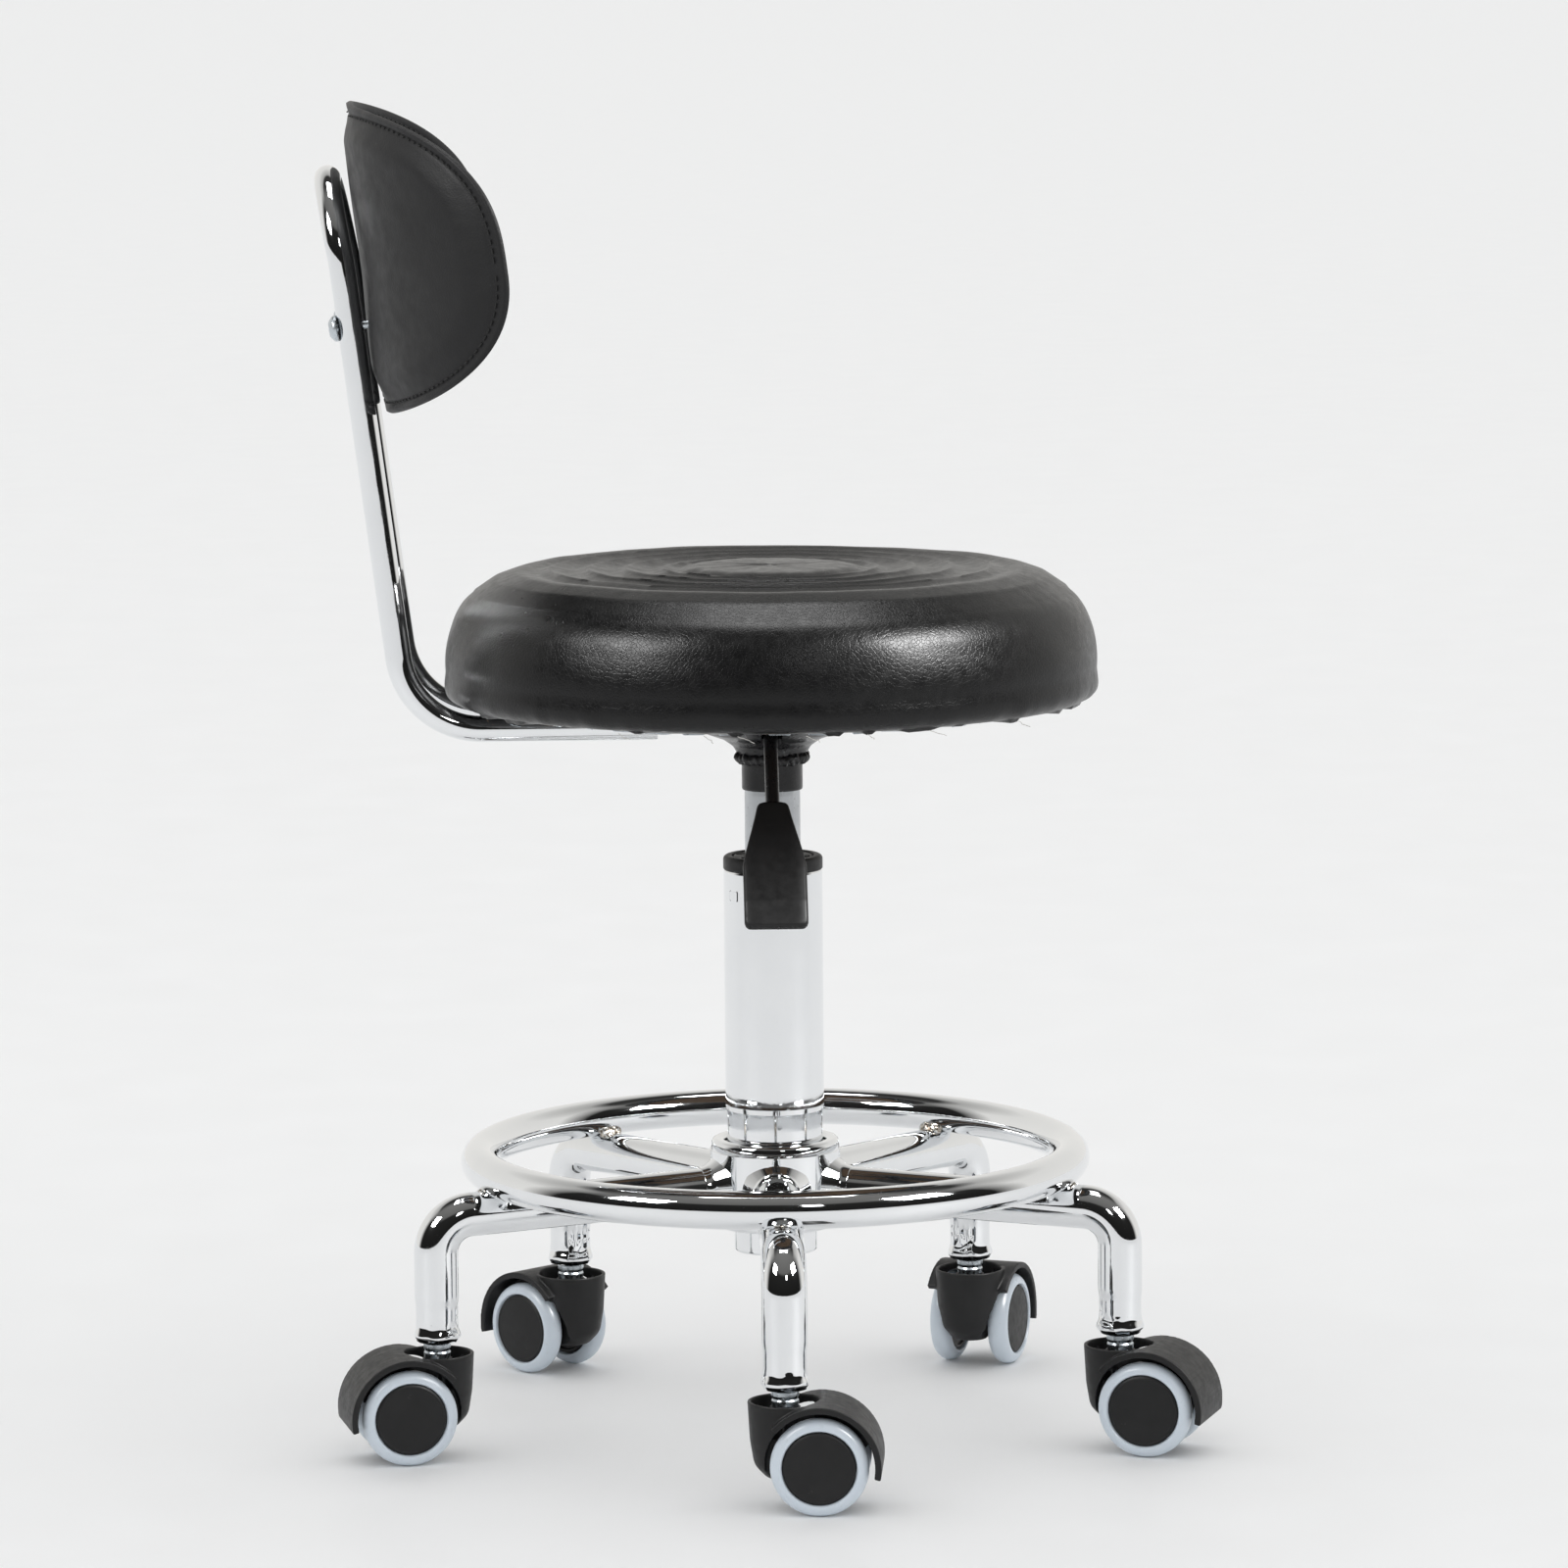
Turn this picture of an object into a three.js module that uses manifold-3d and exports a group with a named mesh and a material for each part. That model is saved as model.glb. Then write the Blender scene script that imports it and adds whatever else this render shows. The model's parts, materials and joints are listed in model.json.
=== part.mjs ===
// Height-adjustable swivel stool with a back rest, a foot ring and five twin-wheel casters.
// Millimetres, +Z up. The origin is on the floor under the gas column. +X is the way the sitter
// faces, so the back rest is at -X, and the height lever points to the sitter's right, -Y.
import * as THREE from "three";
import { mergeVertices } from "three/addons/utils/BufferGeometryUtils.js";
import Module from "manifold-3d";

const wasm = await Module();
wasm.setup();

// ---------------------------------------------------------------- driving dimensions
const GAP = 0.3; // between neighbours that touch on the real stool

// `offset` is from the hood's middle to a wheel's middle.
const WHEEL = { radius: 24, hubRadius: 17.9, halfWidth: 5.6, offset: 16, sides: 18 };
const CASTER = {
  trail: 17.2, rimZ: 53.3, socketRadius: 18.3, fenderOuter: 30.1, fenderInner: 26.9, halfWidth: 22,
};
const CASTER_HEADINGS = [-3, -18, 70, 135, 193]; // degrees, the way each caster trails at rest
const AXLE_RADIUS = 2.9;
const STEM = { radius: 5.5, collarRadius: 6.8, bottomZ: 30, topZ: 84 };

const BASE_TURN = 1.2; // degrees that the five legs are turned about the column
const LEG = {
  tube: 11, slope: 1.9, bendRadius: 51.5, endRadius: 179.8, bendZ: 71.6, bottomZ: 59.2, socketZ: 85,
};
const RING = { radius: 149.8, tube: 9.5, z: 140.8 };
const HUB = { radius: 33.3, topZ: 150.7, bottomZ: 106, legRoot: 27.3 };

const COLUMN = { radius: 25, bore: 21.7, bottomZ: 93, floorZ: 97, floorTop: 100.3, topZ: 286 };
const BUSH = { capTopZ: 295.1, bottomZ: 216, outer: 21.4 };
const CYLINDER = {
  radius: 14, bottomZ: 112, taperZ: 326, topZ: 350, bore: 11.5, boreBottomZ: 120, boreTopZ: 318,
};
const ROD = { radius: 4, bottomZ: 93.4, pistonZ: 296, topZ: 306, pistonRadius: 11.1 };
const BUTTON = { radius: 3, topZ: 355 };

const SLEEVE = { outer: 15.35, bottomZ: 328.4 };
const PLATE = { weldZ: 342, flangeRadius: 46, flangeZ: 368.6, topZ: 371.4 };
const LEVER = { radius: 3.5, z: 360.4, bendY: -33, slope: 50, length: 114, paddleStart: 43.6 };
const PADDLE = { rootWidth: 15.9, width: 31.4, flareEnd: 36, thickness: 7 };

const BOARD = { radius: 150, bottomZ: 372, topZ: 385.2 };
const CUSHION = { radius: 166.4, bottomZ: 373.2, topZ: 437 };

// The whole back rest sits turned a little on the seat, and the pad a little more on its frame.
const BACK_TURN = 1.6; // degrees
const FRAME = {
  tube: 6.5, spread: 40, z: 365.1, bendRadius: 41.2, bendX: -145.3, lean: 7.3, topZ: 637, bow: 2.4, endX: -38,
};
const PAD = {
  flat: 30, bend: 160, halfLength: 181, midZ: 598, halfHeight: 75.5, rearX: -197.7, rearZ: 556, power: 2.7,
  turn: 2.4,
};
const PAD_DEPTH = { rim: 4, front: 21, rear: 5 };
const SCREW = { z: 565.4, headRadius: 6.5, shank: 2 };

// ---------------------------------------------------------------- materials
const finish = (color, roughness, metalness) => ({ color, roughness, metalness });
const CHROME = finish(0xdadde0, 0.08, 1);
const SATIN_STEEL = finish(0xa9adb0, 0.35, 1);
const ZINC = finish(0xb9c2c8, 0.3, 1);
const BLACK_PAINT = finish(0x151515, 0.3, 0.2);
const BLACK_PLASTIC = finish(0x1d1d1f, 0.5, 0);
const BLACK_LEATHER = finish(0x121213, 0.35, 0);
const BACK_LEATHER = finish(0x1f1f21, 0.6, 0);
const GREY_TYRE = finish(0xccd3da, 0.35, 0);
const PLYWOOD = finish(0x534234, 0.8, 0);
const BLACK_RUBBER = finish(0x1a1a1a, 0.9, 0);

// ---------------------------------------------------------------- helpers
const radians = THREE.MathUtils.degToRad;
const part = new THREE.Group();

// Adds one named piece to a group.
function addPiece(parent, name, geometry, look) {
  const mesh = new THREE.Mesh(geometry, new THREE.MeshStandardMaterial(look));
  mesh.name = name;
  parent.add(mesh);
  return mesh;
}

function toSolid(geometry) {
  const bare = geometry.index ? geometry.toNonIndexed() : geometry.clone();
  bare.deleteAttribute("normal");
  bare.deleteAttribute("uv");
  const merged = mergeVertices(bare, 1e-4);
  const numbers = { numProp: 3, vertProperties: merged.attributes.position.array };
  return new wasm.Manifold(new wasm.Mesh({ ...numbers, triVerts: new Uint32Array(merged.index.array) }));
}

function toGeometry(solid) {
  const mesh = solid.getMesh();
  const geometry = new THREE.BufferGeometry();
  geometry.setAttribute("position", new THREE.BufferAttribute(mesh.vertProperties, 3));
  geometry.setIndex(new THREE.BufferAttribute(mesh.triVerts, 1));
  return geometry;
}

// Joins `added` to a geometry and cuts `removed` from it.
function carve(geometry, removed = [], added = []) {
  let solid = toSolid(geometry);
  for (const piece of added) solid = solid.add(toSolid(piece));
  for (const piece of removed) solid = solid.subtract(toSolid(piece));
  return toGeometry(solid);
}

// Revolves [radius, height] points about Y. They run anticlockwise, from axis to axis or round a ring.
function turnY(profile, segments, turn = 0) {
  const points = profile.map(([r, h]) => new THREE.Vector2(r, h));
  const onAxis = points[0].x === 0 && points.at(-1).x === 0;
  if (!onAxis) points.push(points[0].clone());
  return new THREE.LatheGeometry(points, segments, turn, Math.PI * 2);
}

const turnZ = (profile, segments) => turnY(profile, segments).rotateX(Math.PI / 2);

// A plain round bar along Z.
const barZ = (radius, fromZ, toZ, segments) =>
  turnZ([[0, fromZ], [radius, fromZ], [radius, toZ], [0, toZ]], segments);

const barY = (radius, fromY, toY, segments) =>
  turnY([[0, fromY], [radius, fromY], [radius, toY], [0, toY]], segments);

// A flat outline of [x, z] points with a width along Y, centred on y = 0.
function prismY(outline, width) {
  const shape = new THREE.Shape(outline.map(([x, z]) => new THREE.Vector2(x, z)));
  const geometry = new THREE.ExtrudeGeometry(shape, { depth: width, bevelEnabled: false });
  return geometry.rotateX(Math.PI / 2).translate(0, width / 2, 0);
}

// [x, z] points along an arc, angles in degrees from +X towards +Z.
function arc(centreX, centreZ, radius, from, to, steps) {
  return Array.from({ length: steps + 1 }, (_, i) => {
    const angle = radians(from + ((to - from) * i) / steps);
    return [centreX + radius * Math.cos(angle), centreZ + radius * Math.sin(angle)];
  });
}

// A path through given points, so that a swept tube has one ring at each of them.
class BentPath extends THREE.Curve {
  constructor(points) {
    super();
    this.points = points;
  }
  getPointAt(u) {
    return this.points[Math.round(u * (this.points.length - 1))].clone();
  }
  getTangentAt(u) {
    const i = Math.round(u * (this.points.length - 1));
    const before = this.points[Math.max(i - 1, 0)];
    const after = this.points[Math.min(i + 1, this.points.length - 1)];
    return after.clone().sub(before).normalize();
  }
}

// A round bar along points.
function sweep(points, radius, sides) {
  const circle = Array.from({ length: sides }, (_, i) => {
    const angle = (2 * Math.PI * i) / sides;
    return new THREE.Vector2(radius * Math.cos(angle), radius * Math.sin(angle));
  });
  const extrudePath = new BentPath(points);
  const steps = points.length - 1;
  return new THREE.ExtrudeGeometry(new THREE.Shape(circle), { steps, extrudePath, bevelEnabled: false });
}

// ---------------------------------------------------------------- casters
// Built with the stem on the local Z axis and the wheels trailing along +X.
function casterStem() {
  return turnZ([
    [0, STEM.bottomZ], [STEM.radius, STEM.bottomZ], [STEM.radius, 50.4], [STEM.collarRadius, 51],
    [STEM.collarRadius, 58.4], [STEM.radius, 58.8], [STEM.radius, STEM.topZ], [0, STEM.topZ],
  ], 10);
}

function casterHood() {
  const { trail, rimZ, socketRadius, fenderOuter, fenderInner, halfWidth } = CASTER;
  const axleZ = WHEEL.radius;
  const socket = turnZ([
    [0, 17.5], [10, 17.5], [16, 28], [socketRadius, rimZ], [socketRadius - 1.8, rimZ],
    [16, 45], [8, 45], [8, 49.6], [0, 49.6],
  ], 12);
  const wheelWell = barY(fenderInner, -halfWidth - 1, halfWidth + 1, 14).translate(trail, 0, axleZ);
  const keep = prismY([[-30, 5], [60, 5], [60, 60], [-30, 60]], 2 * (WHEEL.offset - WHEEL.halfWidth - 1.6));
  const well = toGeometry(toSolid(wheelWell).subtract(toSolid(keep)));
  const fender = prismY([
    ...arc(trail, axleZ, fenderOuter, -11, 140, 7),
    ...arc(trail, axleZ, fenderInner, 140, -11, 7),
  ], 2 * halfWidth);
  const webWidth = 2 * (WHEEL.offset - WHEEL.halfWidth - 2);
  const web = prismY([
    [-6, 22], [trail - 9, 18], [trail, 14.5], [trail + 8, 18], [trail + 20, 30],
    ...arc(trail, axleZ, fenderInner + 1, 25, 130, 5), [-6, 42],
  ], webWidth);
  const stemHole = barZ(STEM.radius + 2 * GAP, 29, 60, 10);
  const axleHole = barY(AXLE_RADIUS + GAP, -halfWidth, halfWidth, 8).translate(trail, 0, axleZ);
  const mouth = turnZ([[0, 45], [16, 45], [socketRadius - 1.8, 60], [0, 60]], 12);
  const guard = carve(fender, [mouth], [web]);
  return carve(carve(socket, [well]), [stemHole, axleHole], [carve(guard, [mouth])]);
}

function wheelHub() {
  const { hubRadius, halfWidth } = WHEEL;
  return turnY([
    [0, 2], [AXLE_RADIUS + 2 * GAP, 2], [AXLE_RADIUS + 2 * GAP, -halfWidth], [hubRadius, -halfWidth + 1],
    [hubRadius, halfWidth - 0.9], [0, halfWidth + 0.3],
  ], WHEEL.sides, Math.PI / WHEEL.sides);
}

function wheelTyre() {
  const outer = WHEEL.radius / Math.cos(Math.PI / WHEEL.sides);
  const inner = WHEEL.hubRadius + GAP;
  return turnY([
    [inner, -5.2], [outer - 2, -5], [outer, -1.6], [outer, 1.6], [outer - 2, 5], [inner, 5.2],
  ], WHEEL.sides, Math.PI / WHEEL.sides);
}

const casters = CASTER_HEADINGS.map((heading, i) => {
  const number = i + 1;
  const spin = radians(-90 + BASE_TURN + 72 * i);
  const caster = new THREE.Group();
  caster.position.set(LEG.endRadius * Math.cos(spin), LEG.endRadius * Math.sin(spin), 0);
  caster.rotation.z = radians(heading);
  addPiece(caster, `caster_${number}_stem`, casterStem(), ZINC);
  addPiece(caster, `caster_${number}_hood`, casterHood(), BLACK_PLASTIC);
  const reach = WHEEL.offset + 1.6;
  const axle = addPiece(caster, `caster_${number}_axle`, barY(AXLE_RADIUS, -reach, reach, 8), ZINC);
  axle.position.set(CASTER.trail, 0, WHEEL.radius);
  for (const [side, way] of [["left", 1], ["right", -1]]) {
    const wheel = new THREE.Group();
    wheel.position.set(CASTER.trail, way * WHEEL.offset, WHEEL.radius);
    wheel.rotation.z = way > 0 ? 0 : Math.PI;
    addPiece(wheel, `caster_${number}_hub_${side}`, wheelHub(), BLACK_PLASTIC);
    addPiece(wheel, `caster_${number}_tyre_${side}`, wheelTyre(), GREY_TYRE);
    caster.add(wheel);
  }
  return caster;
});
part.add(...casters);

// ---------------------------------------------------------------- base
// One leg along +X: it leaves the hub sloping down a little, turns down and ends in a crimped lip
// round the socket of the caster's stem.
function baseLeg() {
  const { slope, bendRadius, endRadius, bendZ, bottomZ, tube, socketZ } = LEG;
  const centreX = endRadius - bendRadius;
  const bend = arc(centreX, bendZ, bendRadius, 90 - slope, 0, 6);
  const rootZ = legAxisZ - HUB.legRoot * Math.tan(radians(slope));
  const outline = [[HUB.legRoot, rootZ], ...bend, [endRadius, bottomZ + 9]];
  const bar = sweep(outline.map(([x, z]) => new THREE.Vector3(x, 0, z)), tube, 10);
  const lip = turnZ([
    [0, bottomZ], [tube - 0.4, bottomZ], [tube + 0.8, bottomZ + 2.5],
    [tube - 0.6, bottomZ + 8], [tube - 0.6, bottomZ + 12], [0, bottomZ + 12],
  ], 10).translate(endRadius, 0, 0);
  const socket = barZ(STEM.radius + GAP, bottomZ - 1, socketZ, 10).translate(endRadius, 0, 0);
  return carve(bar, [socket], [lip]);
}

// Height at which the sloping part of a leg would meet the column's axis.
const legAxisZ = LEG.bendZ + LEG.bendRadius / Math.cos(radians(LEG.slope))
  + (LEG.endRadius - LEG.bendRadius) * Math.tan(radians(LEG.slope));

function baseHub() {
  const { radius, topZ, bottomZ, legRoot } = HUB;
  const ring = turnZ([
    [22.8, bottomZ], [radius - 1, bottomZ], [radius, topZ - 5], [radius - 4, topZ], [24.8, topZ],
  ], 30);
  const pockets = [0, 1, 2, 3, 4].map((i) => {
    const pocket = barZ(LEG.tube + 2 * GAP, legRoot - GAP, radius + 4, 12);
    pocket.rotateY(Math.PI / 2 + radians(LEG.slope)).translate(0, 0, legAxisZ);
    return pocket.rotateZ(radians(-90 + BASE_TURN + 72 * i));
  });
  return carve(ring, pockets);
}

addPiece(part, "base_hub", baseHub(), CHROME);
for (let i = 0; i < 5; i++) {
  const leg = addPiece(part, `leg_${i + 1}`, baseLeg(), CHROME);
  leg.rotation.z = radians(-90 + BASE_TURN + 72 * i);
}
const footRing = new THREE.TorusGeometry(RING.radius, RING.tube, 8, 40).translate(0, 0, RING.z);
addPiece(part, "foot_ring", footRing, CHROME);

// ---------------------------------------------------------------- gas column
addPiece(part, "outer_column", turnZ([
  [18.6, COLUMN.bottomZ], [20, COLUMN.bottomZ], [21, COLUMN.bottomZ + 2.5], [21, 107], [22.2, 108],
  [24.3, 150], [24.5, 166], [COLUMN.radius, 168], [COLUMN.radius, COLUMN.topZ], [COLUMN.bore, COLUMN.topZ],
  [COLUMN.bore, 134], [19, 126], [19, COLUMN.floorTop], [ROD.radius + 0.6, COLUMN.floorTop],
  [ROD.radius + 0.6, COLUMN.floorZ], [18.6, COLUMN.floorZ],
], 24), CHROME);
addPiece(part, "guide_bush", turnZ([
  [CYLINDER.radius + GAP, BUSH.bottomZ], [BUSH.outer, BUSH.bottomZ], [BUSH.outer, COLUMN.topZ + GAP],
  [COLUMN.radius, COLUMN.topZ + GAP], [COLUMN.radius, BUSH.capTopZ - 2],
  [COLUMN.radius - 1.5, BUSH.capTopZ], [CYLINDER.radius + GAP, BUSH.capTopZ],
], 24), BLACK_PLASTIC);
addPiece(part, "gas_cylinder", turnZ([
  [ROD.radius + GAP, CYLINDER.bottomZ], [CYLINDER.radius - 1, CYLINDER.bottomZ],
  [CYLINDER.radius, CYLINDER.bottomZ + 2], [CYLINDER.radius, CYLINDER.taperZ],
  [CYLINDER.radius - 0.9, CYLINDER.topZ], [BUTTON.radius + GAP, CYLINDER.topZ],
  [BUTTON.radius + GAP, CYLINDER.boreTopZ], [CYLINDER.bore, CYLINDER.boreTopZ],
  [CYLINDER.bore, CYLINDER.boreBottomZ], [ROD.radius + GAP, CYLINDER.boreBottomZ],
], 24), SATIN_STEEL);
addPiece(part, "piston_rod", turnZ([
  [0, ROD.bottomZ], [ROD.radius, ROD.bottomZ], [ROD.radius, ROD.pistonZ], [ROD.pistonRadius, ROD.pistonZ],
  [ROD.pistonRadius, ROD.topZ], [0, ROD.topZ],
], 16), SATIN_STEEL);
addPiece(part, "thrust_bearing", turnZ([
  [ROD.radius + GAP, 100.6], [13, 100.6], [13, 107], [ROD.radius + GAP, 107],
], 20), SATIN_STEEL);
addPiece(part, "bump_stop", turnZ([
  [ROD.radius + GAP, 107.3], [9, 107.3], [10, 109.5], [9, 111.7], [ROD.radius + GAP, 111.7],
], 16), BLACK_RUBBER);
addPiece(part, "retaining_clip", turnZ([
  [ROD.radius + GAP, 94.6], [8.5, 94.6], [8.5, 96.2], [ROD.radius + GAP, 96.2],
], 16), ZINC);
addPiece(part, "release_button", barZ(BUTTON.radius, CYLINDER.boreTopZ - 6, BUTTON.topZ, 12), ZINC);

// ---------------------------------------------------------------- seat plate and lever
addPiece(part, "socket_sleeve", turnZ([
  [CYLINDER.radius + GAP, SLEEVE.bottomZ], [SLEEVE.outer, SLEEVE.bottomZ], [SLEEVE.outer, 350.5],
  [CYLINDER.radius - 0.4, 350.5],
], 24), BLACK_PAINT);

function seatPlate() {
  const bell = turnZ([
    [SLEEVE.outer + GAP, PLATE.weldZ], [17.2, PLATE.weldZ], [17.3, 347], [19.8, 350.6], [25, 354.2],
    [34, 357.4], [41, 361.5], [42.5, PLATE.flangeZ], [PLATE.flangeRadius, PLATE.flangeZ],
    [PLATE.flangeRadius, PLATE.topZ], [40, PLATE.topZ], [38.5, 363.5],
    [32, 359.4], [23, 356], [SLEEVE.outer + GAP, 350],
  ], 24);
  const slot = new THREE.BoxGeometry(10.4, 26, 22).translate(0, -37, 357);
  return carve(bell, [slot]);
}
addPiece(part, "seat_plate", seatPlate(), BLACK_PAINT);

// The lever's rod runs level over the button, then slopes down and out to the paddle.
const leverAngle = radians(LEVER.slope);
const leverPoint = (distance, lift = 0) => new THREE.Vector3(
  0,
  LEVER.bendY - distance * Math.cos(leverAngle) - lift * Math.sin(leverAngle),
  LEVER.z + 1 - distance * Math.sin(leverAngle) + lift * Math.cos(leverAngle),
);

function leverRod() {
  const level = [[8, 0], [LEVER.bendY + 5, 0], [LEVER.bendY + 1, -0.6]];
  const route = [
    ...level.map(([y, lift]) => new THREE.Vector3(0, y, LEVER.z + lift)),
    leverPoint(4, -1), leverPoint(8), leverPoint(64),
  ];
  return sweep(route, LEVER.radius, 10);
}

function leverPaddle() {
  const { rootWidth, width, flareEnd, thickness } = PADDLE;
  const length = LEVER.length - LEVER.paddleStart;
  const half = [
    [0, rootWidth / 2 - 3], [3, rootWidth / 2], [flareEnd, width / 2],
    [length - 4, width / 2], [length, width / 2 - 4],
  ];
  const mirrored = half.map(([along, across]) => [along, -across]).reverse();
  const blade = prismY([...half, ...mirrored], thickness + 3).rotateX(-Math.PI / 2);
  const hole = barZ(LEVER.radius + GAP, -1, 64 - LEVER.paddleStart + GAP, 12).rotateY(Math.PI / 2);
  const tapers = [-1, 1].map((face) => {
    const wedge = new THREE.BoxGeometry(length, width + 4, 6).rotateY(radians(-3.4 * face));
    return wedge.translate(length * 0.72, 0, 7 * face);
  });
  return carve(blade, [hole, ...tapers]);
}
addPiece(part, "lever_rod", leverRod(), BLACK_PAINT);
const paddle = addPiece(part, "lever_paddle", leverPaddle(), BLACK_PLASTIC);
paddle.position.copy(leverPoint(LEVER.paddleStart));
paddle.rotation.set(0, leverAngle, -Math.PI / 2, "ZYX");

// ---------------------------------------------------------------- seat
addPiece(part, "seat_board", barZ(BOARD.radius, BOARD.bottomZ, BOARD.topZ, 36), PLYWOOD);
addPiece(part, "seat_cushion", turnZ([
  [0, BOARD.topZ + GAP], [BOARD.radius + GAP, BOARD.topZ + GAP], [BOARD.radius + GAP, CUSHION.bottomZ],
  [156, CUSHION.bottomZ], [163, 378], [CUSHION.radius, 391], [164.5, 408], [159, 423.5],
  [150, 433], [136, CUSHION.topZ], [0, CUSHION.topZ],
], 36), BLACK_LEATHER);

// ---------------------------------------------------------------- back rest
const leanTan = Math.tan(radians(FRAME.lean));

// One side of the bent frame, from its seat end to the foot of the arch, at y = side * spread.
function frameSide(side) {
  const { spread, z, bendRadius, bendX, lean, topZ } = FRAME;
  const bend = arc(bendX, z + bendRadius, bendRadius, 270, 180 + lean, 6);
  const [footX, footZ] = bend.at(-1);
  const archZ = topZ - spread;
  const upright = [footX - (archZ - footZ) * leanTan, archZ];
  const outline = [[FRAME.endX - 22, z], ...bend, upright];
  return outline.map(([x, height]) => new THREE.Vector3(x, side * spread, height));
}

function backFrame() {
  const { spread, topZ, bow } = FRAME;
  const near = frameSide(-1);
  const far = frameSide(1);
  const foot = near.at(-1);
  const arch = Array.from({ length: 9 }, (_, i) => {
    const angle = (Math.PI * (i + 1)) / 10;
    const up = (topZ - foot.z) * Math.sin(angle);
    const back = up * leanTan + bow * Math.sin(angle);
    return new THREE.Vector3(foot.x - back, -spread * Math.cos(angle), foot.z + up);
  });
  const tube = sweep([...near, ...arch, ...far.reverse()], FRAME.tube, 10);
  const ends = [-1, 1].map((side) => {
    const end = new THREE.BoxGeometry(30, 16, 5.5);
    return end.translate(FRAME.endX - 15, side * spread, FRAME.z + FRAME.tube - 2.95);
  });
  const holes = [-1, 1].map((side) => screwBar(SCREW.shank + GAP, -12, 12, side));
  return carve(tube, holes, ends);
}

// A bar across the lean of an upright, along the screw's axis, from `near` to `far` mm of its centre-line.
function screwBar(radius, near, far, side) {
  const bar = barZ(radius, near, far, 8).rotateY(Math.PI / 2 - radians(FRAME.lean));
  return bar.translate(uprightX(SCREW.z), side * FRAME.spread, SCREW.z);
}

// X of an upright's centre-line at height z.
function uprightX(z) {
  const foot = frameSide(1).at(-1);
  return foot.x - (z - foot.z) * leanTan;
}

function backScrew(side) {
  const { headRadius, shank } = SCREW;
  const length = 24;
  const screw = turnZ([
    [0, -FRAME.tube - 4], [3.6, -FRAME.tube - 3.6], [headRadius - 0.8, -FRAME.tube - 2.2],
    [headRadius, -FRAME.tube - GAP], [shank, -FRAME.tube - GAP],
    [shank, length - FRAME.tube], [0, length - FRAME.tube],
  ], 12);
  screw.rotateY(Math.PI / 2 - radians(FRAME.lean));
  return screw.translate(uprightX(SCREW.z), side * FRAME.spread, SCREW.z);
}

// The pad wraps round the sitter: a crowned cushion with a thin rim, flat between the uprights and
// bent round at both sides. `share` runs from its middle to its rim.
function padPoint(share, angle, depth) {
  const corner = (value) => Math.sign(value) * Math.abs(value) ** (2 / PAD.power);
  const along = PAD.halfLength * share * corner(Math.cos(angle));
  const z = PAD.midZ + PAD.halfHeight * share * corner(Math.sin(angle));
  const swing = Math.max(Math.abs(along) - PAD.flat, 0) / PAD.bend;
  const reach = PAD.bend - depth;
  const across = Math.min(Math.abs(along), PAD.flat) + reach * Math.sin(swing);
  const point = new THREE.Vector3(PAD.bend - reach * Math.cos(swing), Math.sign(along) * across, z);
  point.applyAxisAngle(new THREE.Vector3(0, 0, 1), radians(PAD.turn));
  return point.setX(point.x + PAD.rearX - (z - PAD.rearZ) * leanTan);
}

function backPad() {
  const sectors = 28;
  const rings = [0.5, 0.85, 1];
  const crown = (share) => 1 - share ** 3;
  const points = [];
  const faces = [];
  const addSkin = (depthAt, outward) => {
    const first = points.length;
    points.push(padPoint(0, 0, depthAt(0)));
    for (const share of rings) {
      for (let j = 0; j < sectors; j++) {
        points.push(padPoint(share, (2 * Math.PI * j) / sectors, depthAt(share)));
      }
    }
    const at = (ring, j) => (ring < 0 ? first : first + 1 + ring * sectors + (j % sectors));
    const addFace = (a, b, c) => faces.push(...(outward ? [a, b, c] : [a, c, b]));
    rings.forEach((_, ring) => {
      for (let j = 0; j < sectors; j++) {
        addFace(at(ring - 1, j), at(ring, j), at(ring, j + 1));
        if (ring > 0) addFace(at(ring - 1, j), at(ring, j + 1), at(ring - 1, j + 1));
      }
    });
    return (j) => at(rings.length - 1, j);
  };
  const rear = addSkin((share) => PAD_DEPTH.rear * (1 - crown(share)), false);
  const frontDepth = (share) => PAD_DEPTH.rear + PAD_DEPTH.rim + PAD_DEPTH.front * crown(share);
  const front = addSkin(frontDepth, true);
  for (let j = 0; j < sectors; j++) {
    faces.push(rear(j), rear(j + 1), front(j), front(j), rear(j + 1), front(j + 1));
  }
  const skin = new THREE.BufferGeometry();
  skin.setAttribute("position", new THREE.Float32BufferAttribute(points.flatMap((p) => p.toArray()), 3));
  skin.setIndex(faces);
  const shankLength = 19;
  return carve(skin, [-1, 1].map((side) => screwBar(SCREW.shank + GAP, 0, shankLength, side)));
}

const back = new THREE.Group();
back.rotation.z = radians(BACK_TURN);
addPiece(back, "back_frame", backFrame(), CHROME);
addPiece(back, "back_pad", backPad(), BACK_LEATHER);
addPiece(back, "back_screw_left", backScrew(1), ZINC);
addPiece(back, "back_screw_right", backScrew(-1), ZINC);
part.add(back);

export default part;
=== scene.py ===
"""Height-adjustable swivel stool: the looks of every piece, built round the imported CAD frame.

Lengths are millimetres in the CAD model's own frame until a mesh is made. +X is the way the sitter
faces, -Y is the camera's side and +Z is up.
"""
import json
import math
import random

import bmesh
import bpy
from mathutils import Matrix, Vector, noise
from mathutils.bvhtree import BVHTree


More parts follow.
